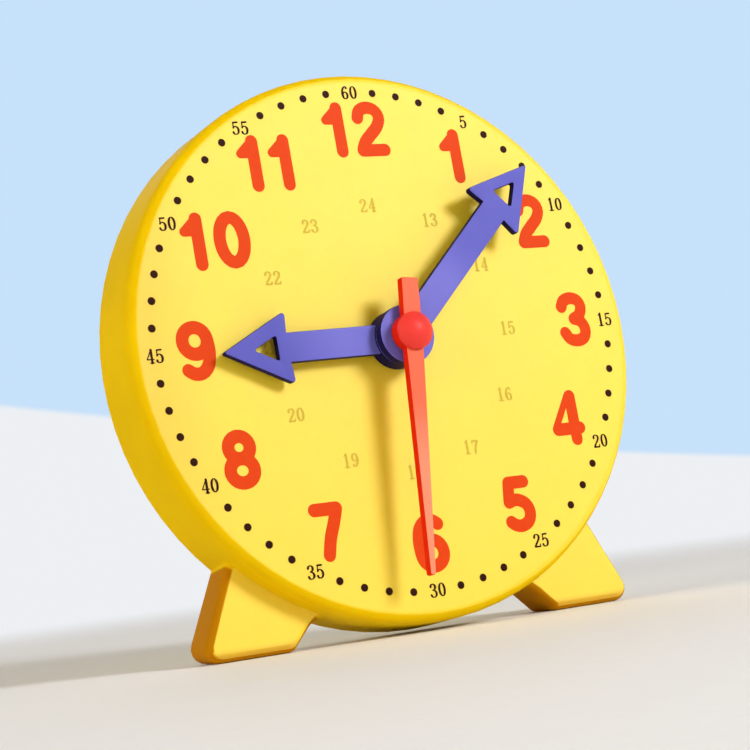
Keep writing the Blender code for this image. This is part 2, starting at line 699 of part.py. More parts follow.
def second_hand(material):
    """The long tapered hand with a counterweight tail and a round hub."""
    tip, middle, tail = SECOND_TIP_WIDTH / 2, SECOND_HUB_WIDTH / 2, SECOND_TAIL_WIDTH / 2
    outline = rounded([((middle, 0), 0), ((tip, SECOND_LENGTH), HAND_TIP_CORNER),
                       ((-tip, SECOND_LENGTH), HAND_TIP_CORNER), ((-middle, 0), 0),
                       ((-tail, -SECOND_TAIL), HAND_TIP_CORNER), ((tail, -SECOND_TAIL), HAND_TIP_CORNER)])
    low = SECOND_FACE - SECOND_THICKNESS
    body = slab("second_hand", [outline], low, SECOND_FACE, HAND_EDGE)
    join(body, hub(SECOND_HUB_RADIUS, low - SECOND_HUB_DROP, SECOND_FACE))
    cut(body, rod("bore", (0, 0), SECOND_ARBOR_RADIUS + SEAT_GAP, low - OVERRUN, SECOND_FACE + OVERRUN))
    return tidy(body, material)


def centre_cap(material):
    """The domed button over the end of the second arbor."""
    low = SECOND_FACE + CAP_SEAT_GAP
    rise = CAP_HEIGHT - CAP_RIM
    ball = (CAP_RADIUS ** 2 + rise ** 2) / (2 * rise)
    reach = math.asin(CAP_RADIUS / ball)
    dome = arc((0, low + CAP_HEIGHT - ball), ball, UP, UP - reach, 2 * CORNER_STEPS)
    dome[0] = Vector((0, low + CAP_HEIGHT))
    body = turned("centre_cap", dome + [(CAP_RADIUS, low), (0, low)], HUB_STEPS)
    cut(body, rod("seat", (0, 0), SECOND_ARBOR_RADIUS + SEAT_GAP, low - OVERRUN, low + CAP_GRIP + SEAT_GAP))
    return tidy(body, material)


# Assembly

def fixed_pieces(yellow, cream, steel):
    """Everything that stays still."""
    plate_tip = PLATE_FRONT + PLATE_SCREW_GRIP
    cover_tip = COVER_FRONT + COVER_SCREW_GRIP
    head_seat = COVER_BACK + COVER_HEAD_HEIGHT
    post_tip = DIAL_BACK + POST_SEAT_DEPTH - SEAT_GAP
    post = rod("motion_post", MOTION_AXIS, MOTION_POST_RADIUS, PLATE_BACK, post_tip)
    hold(STAND, case_shell(yellow), back_cover(yellow), gear_plate(cream), tidy(post, steel))
    hold(STAND, *screws("plate_screw", plate_screw_places(), PLATE_SCREW_RADIUS, plate_tip,
                        PLATE_BACK - SEAT_GAP, PLATE_HEAD_RADIUS, PLATE_HEAD_HEIGHT, steel))
    hold(STAND, *screws("cover_screw", cover_screw_places(), COVER_SCREW_RADIUS, cover_tip, head_seat,
                        COVER_HEAD_RADIUS, COVER_HEAD_HEIGHT, steel))


def hour_pieces(violet, cream):
    """The hour wheel and the hour hand on its pipe."""
    wheel_axis = axis("hour_axis", (0, 0))
    hold(wheel_axis, hour_wheel(cream))
    hand_axis = axis("hour_hand_axis", (0, 0), HOUR_ANGLE)
    hold(hand_axis, arrow_hand("hour_hand", HOUR_LENGTH, HOUR_WINDOW_TIP, HOUR_FACE, HOUR_HUB_RADIUS,
                               RUNNING_GAP, HOUR_FACE + HOUR_HUB_RISE, HOUR_PIPE_RADIUS + SEAT_GAP, violet))


def minute_pieces(violet, cream, brass):
    """The centre wheel, its pipe, the cannon pinion and the minute hand."""
    arbor_axis = axis("minute_axis", (0, 0))
    seat = MINUTE_PIPE_RADIUS + SEAT_GAP
    centre_wheel = wheel("centre_wheel", CENTRE_TEETH, CENTRE_MODULE, facing(CENTRE_TEETH, DOWN, gap=False),
                         seat, CENTRE_WHEEL_BACK, CENTRE_WHEEL_FRONT)
    cannon = pinion("cannon_pinion", CANNON_TEETH, CANNON_MODULE, facing(CANNON_TEETH, UP, gap=False), seat,
                    MOTION_WHEEL_BACK - PINION_OVERLAP, MOTION_WHEEL_FRONT + PINION_OVERLAP)
    tube = pipe("minute_pipe", MINUTE_PIPE_BORE, MINUTE_PIPE_RADIUS, CENTRE_WHEEL_BACK,
                MINUTE_FACE - PIPE_TIP_INSET, brass)
    hold(arbor_axis, tidy(centre_wheel, cream), tidy(cannon, cream), tube)
    hand_axis = axis("minute_hand_axis", (0, 0), MINUTE_ANGLE)
    low = MINUTE_FACE - HAND_THICKNESS - MINUTE_HUB_RISE
    hold(hand_axis, arrow_hand("minute_hand", MINUTE_LENGTH, MINUTE_WINDOW_TIP, MINUTE_FACE,
                               MINUTE_HUB_RADIUS, low, MINUTE_FACE + MINUTE_HUB_RISE, seat, violet))


def second_pieces(red, cream, steel):
    """The second arbor with its pinion, hand and cap."""
    arbor_axis = axis("second_axis", (0, 0))
    phase = facing(TRAIN_PINION_TEETH, DOWN, gap=True)
    gear = pinion("second_pinion", TRAIN_PINION_TEETH, THIRD_MODULE, phase, SECOND_ARBOR_RADIUS + SEAT_GAP,
                  THIRD_WHEEL_BACK - PINION_OVERLAP, THIRD_WHEEL_FRONT + PINION_OVERLAP)
    arbor = rod("second_arbor", (0, 0), SECOND_ARBOR_RADIUS, COVER_FRONT - ARBOR_SEAT_DEPTH + RUNNING_GAP,
                SECOND_FACE + SEAT_GAP + CAP_GRIP)
    hold(arbor_axis, tidy(gear, cream), tidy(arbor, steel))
    hand_axis = axis("second_hand_axis", (0, 0), SECOND_ANGLE)
    hold(hand_axis, second_hand(red), centre_cap(red))


def third_pieces(violet, cream, steel):
    """The arbor that the knob turns, with its wheel and pinion."""
    arbor_axis = axis("third_axis", THIRD_AXIS)
    seat = THIRD_ARBOR_RADIUS + SEAT_GAP
    large = wheel("third_wheel", THIRD_TEETH, THIRD_MODULE, facing(THIRD_TEETH, UP, gap=False), seat,
                  THIRD_WHEEL_BACK, THIRD_WHEEL_FRONT)
    phase = facing(TRAIN_PINION_TEETH, UP, gap=True)
    small = pinion("third_pinion", TRAIN_PINION_TEETH, CENTRE_MODULE, phase, seat,
                   THIRD_WHEEL_FRONT + SEAT_GAP, CENTRE_WHEEL_FRONT)
    arbor_end = COVER_BACK - LAYER_GAP - KNOB_SEAT_DEPTH + SEAT_GAP
    arbor = rod("third_arbor", (0, 0), THIRD_ARBOR_RADIUS, arbor_end, PLATE_FRONT - SEAT_GAP)
    for body, material in ((large, cream), (small, cream), (arbor, steel)):
        hold(arbor_axis, tidy(body, material))
    grip = knob(violet)
    grip.data.transform(Matrix.Translation((-THIRD_AXIS.x, -THIRD_AXIS.y, 0)))
    hold(arbor_axis, grip)


def motion_pieces(cream):
    """The wheel and pinion that slow the minute hand's turn down to the hour hand's."""
    post_axis = axis("motion_axis", MOTION_AXIS)
    bore = MOTION_POST_RADIUS + RUNNING_GAP
    large = wheel("motion_wheel", MOTION_TEETH, CANNON_MODULE, facing(MOTION_TEETH, DOWN, gap=True), bore,
                  MOTION_WHEEL_BACK, MOTION_WHEEL_FRONT)
    phase = facing(MOTION_PINION_TEETH, DOWN, gap=False)
    small = pinion("motion_pinion", MOTION_PINION_TEETH, HOUR_MODULE, phase, bore,
                   MOTION_WHEEL_FRONT + SEAT_GAP, HOUR_WHEEL_FRONT)
    hold(post_axis, tidy(large, cream), tidy(small, cream))


def stand_up():
    """Leans the clock back and puts its soles on the floor, with the middle of its outline at the origin."""
    STAND.rotation_euler.x = math.pi / 2 - LEAN
    bpy.context.view_layer.update()
    corners = [body.matrix_world @ vertex.co for body in PARTS.objects if body.type == 'MESH'
               for vertex in body.data.vertices]
    low = [min(corner[k] for corner in corners) for k in range(3)]
    high = [max(corner[k] for corner in corners) for k in range(3)]
    STAND.location = (-(low[0] + high[0]) / 2, -(low[1] + high[1]) / 2, -low[2])
    bpy.context.view_layer.update()


for leftover in list(bpy.data.objects):
    bpy.data.objects.remove(leftover)
PARTS = bpy.data.collections.new("geared_teaching_clock")
bpy.context.scene.collection.children.link(PARTS)
STAND = bpy.data.objects.new("clock_stand", None)
PARTS.objects.link(STAND)

YELLOW = finish("case_yellow", (1.0, 0.78, 0.05), 0.35)
VIOLET = finish("hand_violet", (0.16, 0.13, 0.62), 0.35)
RED = finish("second_red", (0.95, 0.06, 0.04), 0.35)
CREAM = finish("gear_cream", (0.86, 0.83, 0.74), 0.45)
STEEL = finish("steel", (0.62, 0.62, 0.64), 0.30, 1.0)
BRASS = finish("brass", (0.80, 0.60, 0.25), 0.30, 1.0)

fixed_pieces(YELLOW, CREAM, STEEL)
hour_pieces(VIOLET, CREAM)
minute_pieces(VIOLET, CREAM, BRASS)
second_pieces(RED, CREAM, STEEL)
third_pieces(VIOLET, CREAM, STEEL)
motion_pieces(CREAM)
stand_up()
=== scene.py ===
"""Looks of a geared teaching clock: mouldings, printed dial, three hands, wheel train and a studio round it.

Lengths are in metres unless a name ends in _mm. What lies on the dial is written in millimetres in the
clock's own frame (x to the viewer's right, y towards twelve, z out of the dial, zero on the dial's face
at the hands' axis), and ClockFrame moves it into the row frame.
"""

import logging
import math
from dataclasses import dataclass, field
from enum import Enum

import bmesh
import bpy
import numpy as np
from mathutils import Matrix, Vector

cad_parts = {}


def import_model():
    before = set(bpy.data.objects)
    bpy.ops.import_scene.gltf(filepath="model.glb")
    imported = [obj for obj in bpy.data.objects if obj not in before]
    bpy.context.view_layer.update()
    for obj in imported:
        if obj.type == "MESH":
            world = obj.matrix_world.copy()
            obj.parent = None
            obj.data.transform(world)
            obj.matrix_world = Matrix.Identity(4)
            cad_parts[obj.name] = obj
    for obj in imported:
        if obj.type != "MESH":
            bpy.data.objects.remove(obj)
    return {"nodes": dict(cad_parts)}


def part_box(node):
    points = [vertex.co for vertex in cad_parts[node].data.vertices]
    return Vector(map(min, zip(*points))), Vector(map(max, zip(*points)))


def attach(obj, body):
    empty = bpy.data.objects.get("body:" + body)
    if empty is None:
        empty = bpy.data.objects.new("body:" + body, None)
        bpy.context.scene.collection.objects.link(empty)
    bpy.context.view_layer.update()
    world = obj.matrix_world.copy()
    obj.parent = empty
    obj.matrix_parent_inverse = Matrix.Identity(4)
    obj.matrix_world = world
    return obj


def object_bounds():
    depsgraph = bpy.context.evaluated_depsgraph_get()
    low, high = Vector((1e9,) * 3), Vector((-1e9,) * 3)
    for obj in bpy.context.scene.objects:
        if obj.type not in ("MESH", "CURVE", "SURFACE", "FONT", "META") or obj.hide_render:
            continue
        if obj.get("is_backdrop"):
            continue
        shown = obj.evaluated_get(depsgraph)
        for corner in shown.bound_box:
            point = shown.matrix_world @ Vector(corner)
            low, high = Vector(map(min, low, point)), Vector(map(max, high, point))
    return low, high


LOG = logging.getLogger("teaching_clock")
MM = 0.001
Colour = tuple[float, float, float]
Points = tuple[tuple[float, float], ...]
Span = tuple[float, float]

HOURS = 12
MINUTES = 60
MINUTES_TO_AN_HOUR_MARK = MINUTES // HOURS
OVAL_POINTS = 12
CURVE_STEPS = 48
WIDE_SPAN: Span = (0.3, 0.7)


# The clock's frame

@dataclass(frozen=True)
class ClockFrame:
    """The clock's own frame, which leans back with the case."""

    lean: float = math.radians(5.0)
    axis_point: tuple[float, float, float] = (0.0, -0.0040258, 0.0521383)

    def rotation(self) -> np.ndarray:
        """Columns are the clock's x, y and z directions in the row frame."""
        sine, cosine = math.sin(self.lean), math.cos(self.lean)
        return np.array([[1.0, 0.0, 0.0], [0.0, sine, -cosine], [0.0, cosine, sine]])

    def to_row(self, points_mm: np.ndarray) -> np.ndarray:
        """Points of the clock's frame in the row frame.

        Args:
            points_mm: millimetres in the clock's frame, the last axis being x, y, z.

        Returns:
            The same points in metres in the row frame.
        """
        return points_mm * MM @ self.rotation().T + np.array(self.axis_point)

    def report_fit(self) -> None:
        """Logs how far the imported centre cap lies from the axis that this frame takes."""
        low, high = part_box("centre_cap")
        middle = np.array((low + high) / 2)
        away = self.rotation().T @ (middle - np.array(self.axis_point))
        LOG.info("hands' axis is %.3f mm from the centre cap", math.hypot(away[0], away[1]) / MM)


FRAME = ClockFrame()


# Surfaces

def grid_faces(rows: int, columns: int, wrap_rows: bool, wrap_columns: bool) -> np.ndarray:
    """Four-sided faces of a grid of points.

    Args:
        rows: number of points along the first parameter.
        columns: number of points along the second parameter.
        wrap_rows: joins the last row to the first.
        wrap_columns: joins the last column to the first.

    Returns:
        An array of point numbers, four to a face.
    """
    row = np.arange(rows if wrap_rows else rows - 1)[:, None]
    column = np.arange(columns if wrap_columns else columns - 1)[None, :]
    next_row, next_column = (row + 1) % rows, (column + 1) % columns
    corners = [row * columns + column, next_row * columns + column,
               next_row * columns + next_column, row * columns + next_column]
    return np.stack(np.broadcast_arrays(*corners), axis=-1).reshape(-1, 4)


@dataclass
class Relief:
    """A mesh gathered from grids of points, each one a closed surface of two parameters."""

    name: str
    points: list[np.ndarray] = field(default_factory=list)
    faces: list[np.ndarray] = field(default_factory=list)
    count: int = 0

    def add(self, grid: np.ndarray, wrap_rows: bool, wrap_columns: bool) -> None:
        """Adds one surface.

        Args:
            grid: rows by columns by 3, in the row frame.
            wrap_rows: joins the last row to the first.
            wrap_columns: joins the last column to the first.
        """
        rows, columns = grid.shape[:2]
        self.faces.append(grid_faces(rows, columns, wrap_rows, wrap_columns) + self.count)
        self.points.append(grid.reshape(-1, 3))
        self.count += rows * columns

    def build(self, weld: float = 1e-7) -> bpy.types.Object:
        """Makes the object, closes its poles and seams and turns its faces outwards.

        Args:
            weld: points nearer than this become one.

        Returns:
            The new object, at the origin, its faces flat.
        """
        mesh = bpy.data.meshes.new(self.name)
        mesh.from_pydata(np.concatenate(self.points), [], np.concatenate(self.faces))
        welded = bmesh.new()
        welded.from_mesh(mesh)
        bmesh.ops.remove_doubles(welded, verts=welded.verts, dist=weld)
        bmesh.ops.recalc_face_normals(welded, faces=welded.faces)
        welded.to_mesh(mesh)
        welded.free()
        mesh.shade_flat()
        body = bpy.data.objects.new(self.name, mesh)
        bpy.context.scene.collection.objects.link(body)
        return body


def smooth_line(points: np.ndarray, closed: bool, samples: int) -> np.ndarray:
    """Points at equal steps along a smooth curve through the given ones.

    Between neighbours b and c, with a before and d after them, the curve at t from 0 to 1 is half of
    2b + (c - a) t + (2a - 5b + 4c - d) t squared + (3b - a - 3c + d) t cubed. An open line's ends have their
    neighbours mirrored.

    Args:
        points: the line's points, n by 2.
        closed: whether the line ends where it starts.
        samples: how many points to return.

    Returns:
        samples by 2 points.
    """
    if closed:
        chain = np.vstack([points[-1:], points, points[:2]])
    else:
        chain = np.vstack([2 * points[:1] - points[1:2], points, 2 * points[-1:] - points[-2:-1]])
    spans = len(chain) - 3
    place = np.linspace(0, spans, CURVE_STEPS * spans + 1)
    index = np.minimum(place.astype(int), spans - 1)
    t = (place - index)[:, None]
    a, b, c, d = (chain[index + step] for step in range(4))
    squared, cubed = 2 * a - 5 * b + 4 * c - d, 3 * b - a - 3 * c + d
    curve = (2 * b + (c - a) * t + squared * t ** 2 + cubed * t ** 3) / 2
    length = np.concatenate([[0.0], np.cumsum(np.linalg.norm(np.diff(curve, axis=0), axis=1))])
    even = np.linspace(0, length[-1], samples, endpoint=not closed)
    return np.stack([np.interp(even, length, curve[:, 0]), np.interp(even, length, curve[:, 1])], axis=1)


# Print on the dial

class Pen(Enum):
    """How a stroke's width follows its direction."""

    ROUND = "round"
    BOOK = "book"


@dataclass(frozen=True)
class Stroke:
    """One line of a numeral: points along its middle and half its width, in millimetres."""

    points: Points
    half_width: float
    closed: bool = False


def oval(x: float, y: float, rx: float, ry: float) -> Points:
    """Points round an oval: the turn's cosine times half the width, its sine times half the height.

    Args:
        x: its middle, to the right.
        y: its middle, upwards.
        rx: half its width.
        ry: half its height.

    Returns:
        The points, for a closed stroke.
    """
    turn = np.arange(OVAL_POINTS) * 2 * math.pi / OVAL_POINTS
    return tuple(zip((x + rx * np.cos(turn)).tolist(), (y + ry * np.sin(turn)).tolist()))


def turned_about(points: Points, x: float, y: float) -> Points:
    """The points turned half a turn about (x, y)."""
    return tuple((2 * x - px, 2 * y - py) for px, py in points)


@dataclass(frozen=True)
class BoldNumerals:
    """Rounded numerals of one stroke width, drawn about their own middles in millimetres."""

    half_width: float = 1.17
    flag_half_width: float = 0.85
    slope_half_width: float = 0.68

    def shapes(self) -> dict[str, tuple[Stroke, ...]]:
        """The strokes of each figure."""
        full, flag, slope = self.half_width, self.flag_half_width, self.slope_half_width
        nine_tail = ((2.28, 1.68), (2.36, -0.45), (1.88, -2.65), (0.62, -3.98), (-0.85, -4.10),
                     (-2.02, -3.40))
        return {
            "0": (Stroke(oval(0, 0, 2.32, 4.08), full, True),),
            "1": (Stroke(((1.0, 4.08), (1.0, -4.10)), full), Stroke(((-1.44, 1.86), (0.95, 4.02)), flag),
                  Stroke(((-1.44, 1.86), (0.9, 1.86)), flag), Stroke(((-0.4, 2.4), (0.7, 3.2)), flag)),
            "2": (Stroke(((-2.30, 2.15), (-1.72, 3.52), (-0.12, 4.10), (1.50, 3.50), (2.12, 2.05),
                          (1.45, 0.45), (0.05, -0.95), (-1.45, -2.45), (-2.22, -3.95)), full),
                  Stroke(((-2.22, -4.08), (2.28, -4.08)), full)),
            "3": (Stroke(((-2.22, 2.55), (-1.50, 3.68), (0.08, 4.10), (1.60, 3.52), (2.05, 2.20),
                          (1.38, 0.75), (0.12, 0.08)), full),
                  Stroke(((0.12, 0.08), (1.52, -0.50), (2.22, -2.10), (1.60, -3.60), (0.08, -4.10),
                          (-1.48, -3.68), (-2.34, -2.48)), full)),
            "4": (Stroke(((1.40, 4.08), (1.40, -4.08)), full), Stroke(((-2.35, -2.0), (2.45, -2.0)), full),
                  Stroke(((0.96, 4.42), (-2.78, -1.74)), slope)),
            "5": (Stroke(((-1.42, 3.94), (1.66, 3.94)), full), Stroke(((-1.50, 3.94), (-1.98, 0.52)), full),
                  Stroke(((-1.98, 0.42), (-1.10, 0.70), (0.05, 0.66), (1.52, -0.20), (2.10, -1.80),
                          (1.48, -3.36), (0.02, -4.06), (-1.30, -3.84), (-2.20, -3.20)), full)),
            "6": (Stroke(oval(0.05, -1.68, 2.30, 2.36), full, True),
                  Stroke(turned_about(nine_tail, 0, 0), full)),
            "7": (Stroke(((-2.14, 3.92), (2.10, 3.92)), full),
                  Stroke(((2.12, 3.88), (1.32, 1.60), (0.18, -1.20), (-0.58, -4.08)), full)),
            "8": (Stroke(oval(0, 2.10, 2.02, 1.96), full, True),
                  Stroke(oval(0, -1.94, 2.26, 2.12), full, True)),
            "9": (Stroke(oval(-0.05, 1.68, 2.30, 2.36), full, True), Stroke(nine_tail, full)),
        }


@dataclass(frozen=True)
class BookNumerals:
    """Small figures with thick stems, thin joins and serifs, drawn in a box one unit high, then scaled."""

    height_mm: float = 2.5
    stem_share: float = 0.088
    slab_share: float = 1.5
    bar_share: float = 1.6
    flag_share: float = 0.6
    hair_share: float = 0.5
    pitch_share: float = 0.69
    box_width_share: float = 0.60

    def shapes(self) -> dict[str, tuple[Stroke, ...]]:
        """The strokes of each figure, about its own middle, in millimetres."""
        stem = self.stem_share
        slab, bar = stem * self.slab_share, stem * self.bar_share
        flag, hair = stem * self.flag_share, stem * self.hair_share
        six_back = ((0.47, 0.84), (0.39, 0.96), (0.26, 0.90), (0.13, 0.68), (0.10, 0.42), (0.12, 0.24))
        drawn = {
            "0": (Stroke(oval(0.30, 0.50, 0.21, 0.46), stem, True),),
            "1": (Stroke(((0.32, 0.04), (0.32, 0.96)), stem), Stroke(((0.14, 0.03), (0.50, 0.03)), stem),
                  Stroke(((0.31, 0.95), (0.15, 0.84)), flag)),
            "2": (Stroke(((0.11, 0.74), (0.14, 0.89), (0.29, 0.96), (0.45, 0.88), (0.49, 0.71), (0.37, 0.48),
                          (0.20, 0.26), (0.09, 0.07)), stem),
                  Stroke(((0.09, 0.06), (0.50, 0.06)), slab), Stroke(((0.52, 0.06), (0.54, 0.22)), hair)),
            "3": (Stroke(((0.11, 0.78), (0.16, 0.91), (0.29, 0.96), (0.43, 0.88), (0.47, 0.74), (0.40, 0.59),
                          (0.25, 0.53)), stem),
                  Stroke(((0.25, 0.53), (0.43, 0.46), (0.51, 0.28), (0.45, 0.10), (0.28, 0.03), (0.14, 0.08),
                          (0.09, 0.20)), stem)),
            "4": (Stroke(((0.41, 0.04), (0.41, 0.95)), stem), Stroke(((0.40, 0.93), (0.07, 0.31)), hair),
                  Stroke(((0.07, 0.29), (0.56, 0.29)), stem), Stroke(((0.28, 0.03), (0.54, 0.03)), stem)),
            "5": (Stroke(((0.15, 0.92), (0.12, 0.52)), hair), Stroke(((0.15, 0.91), (0.46, 0.92)), bar),
                  Stroke(((0.12, 0.52), (0.22, 0.61), (0.34, 0.61), (0.47, 0.49), (0.50, 0.30), (0.44, 0.11),
                          (0.28, 0.03), (0.14, 0.08), (0.09, 0.19)), stem)),
            "6": (Stroke(oval(0.31, 0.29, 0.19, 0.26), stem, True), Stroke(six_back, stem)),
            "7": (Stroke(((0.09, 0.90), (0.53, 0.90)), bar), Stroke(((0.09, 0.92), (0.08, 0.74)), hair),
                  Stroke(((0.52, 0.88), (0.37, 0.56), (0.29, 0.28), (0.27, 0.04)), stem)),
            "8": (Stroke(oval(0.30, 0.75, 0.16, 0.21), stem, True),
                  Stroke(oval(0.30, 0.27, 0.20, 0.24), stem, True)),
            "9": (Stroke(oval(0.29, 0.71, 0.19, 0.26), stem, True),
                  Stroke(turned_about(six_back, 0.30, 0.50), stem)),
        }
        return {figure: tuple(self.scaled(stroke) for stroke in strokes)
                for figure, strokes in drawn.items()}

    def scaled(self, stroke: Stroke) -> Stroke:
        """A stroke of the unit box moved to the figure's own middle and scaled to millimetres."""
        size, middle_x, middle_y = self.height_mm, self.box_width_share / 2, 1 / 2
        points = tuple(((x - middle_x) * size, (y - middle_y) * size) for x, y in stroke.points)
        return Stroke(points, stroke.half_width * size, stroke.closed)


@dataclass
class PrintedLayer:
    """A layer of ink on the dial: figures and dots that stand a hair proud of the plastic."""

    name: str
    height_mm: float = 0.035
    sink_mm: float = 0.05
    step_mm: float = 0.003
    step_count: int = 4
    samples: int = 28
    cap_steps: int = 6
    thin_share: float = 0.46
    shoulder_share: float = 0.6
    flat_share: float = 0.95
    dot_shoulder_share: float = 0.5
    dot_flat_share: float = 0.9
    relief: Relief = field(init=False)
    strokes_laid: int = 0

    def __post_init__(self) -> None:
        """Starts an empty relief."""
        self.relief = Relief(self.name)

    def lay(self, stroke: Stroke, pen: Pen, x: float, y: float) -> None:
        """Lays one stroke down.

        The surface's first parameter runs along the stroke, past both ends of an open one by half its width,
        where the half width falls as a quarter circle: offset h sin a along the line, width h cos a. The
        second runs round a flat-topped profile, whose top edges are softened and whose foot is sunk in the
        plastic. A book pen's half width is the stem's times the thin share plus the rest times the squared
        upward part of the direction. Strokes that cross have tops at slightly different heights.

        Args:
            stroke: the line, about its figure's middle.
            pen: how its width follows its direction.
            x: where the figure's middle is on the dial, to the right, in millimetres.
            y: the same, upwards.
        """
        line = smooth_line(np.array(stroke.points, float), stroke.closed, self.samples)
        if stroke.closed:
            along = np.roll(line, -1, axis=0) - np.roll(line, 1, axis=0)
        else:
            along = np.gradient(line, axis=0)
        along /= np.linalg.norm(along, axis=1, keepdims=True)
        half = np.full(len(line), stroke.half_width)
        if pen is Pen.BOOK:
            half *= self.thin_share + (1 - self.thin_share) * along[:, 1] ** 2
        if not stroke.closed:
            turn = np.linspace(math.pi / 2, 0, self.cap_steps, endpoint=False)
            back = line[:1] - along[:1] * half[0] * np.sin(turn)[:, None]
            on = line[-1:] + along[-1:] * half[-1] * np.sin(turn[::-1])[:, None]
            line = np.vstack([back, line, on])
            half = np.concatenate([half[0] * np.cos(turn), half, half[-1] * np.cos(turn[::-1])])
            along = np.vstack([np.repeat(along[:1], self.cap_steps, 0), along,
                               np.repeat(along[-1:], self.cap_steps, 0)])
        across = np.stack([-along[:, 1], along[:, 0]], axis=1)
        top = self.height_mm + self.step_mm * (self.strokes_laid % self.step_count)
        right = [(self.flat_share, top), (1.0, top * self.shoulder_share), (1.0, -self.sink_mm)]
        profile = np.array([(-side, height) for side, height in right[::-1]] + right)
        grid = np.zeros((len(line), len(profile), 3))
        grid[..., :2] = line[:, None] + across[:, None] * half[:, None, None] * profile[None, :, :1] + (x, y)
        grid[..., 2] = profile[None, :, 1]
        self.relief.add(FRAME.to_row(grid), stroke.closed, True)
        self.strokes_laid += 1

    def figures(self, text: str, shapes: dict[str, tuple[Stroke, ...]], pen: Pen, x: float, y: float,
                places: tuple[float, ...]) -> None:
        """Lays the figures of a number side by side.

        Args:
            text: the number.
            shapes: the strokes of each figure.
            pen: how their widths follow their directions.
            x: the number's middle on the dial, to the right, in millimetres.
            y: the same, upwards.
            places: how far each figure's middle lies from the number's middle, to the right.
        """
        for figure, shift in zip(text, places):
            for stroke in shapes[figure]:
                self.lay(stroke, pen, x + shift, y)

    def dots(self, middles: np.ndarray, radius: float, sides: int = 20) -> None:
        """Lays round dots.

        Each dot is a low disc: the first parameter runs from the middle of its top over a softened edge down
        to its sunk foot, and the second is the turn round it.

        Args:
            middles: n by 2, in millimetres on the dial.
            radius: the dots' radius in millimetres.
            sides: points round each dot.
        """
        turn = np.arange(sides) * 2 * math.pi / sides
        top, foot = self.height_mm, -self.sink_mm
        profile = np.array([(0.0, top), (self.dot_flat_share, top), (1.0, top * self.dot_shoulder_share),
                            (1.0, foot), (0.0, foot)])
        for middle in middles:
            grid = np.zeros((len(profile), sides, 3))
            grid[..., 0] = middle[0] + radius * profile[:, :1] * np.cos(turn)
            grid[..., 1] = middle[1] + radius * profile[:, :1] * np.sin(turn)
            grid[..., 2] = profile[:, 1:]
            self.relief.add(FRAME.to_row(grid), False, True)

    def build(self, material: bpy.types.Material) -> bpy.types.Object:
        """The finished layer, riding on the case.

        Args:
            material: its ink.

        Returns:
            The layer's object.
        """
        piece = self.relief.build()
        piece.data.materials.append(material)
        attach(piece, "case")
        LOG.info("%s: %d faces", self.name, len(piece.data.polygons))
        return piece


# Finishes

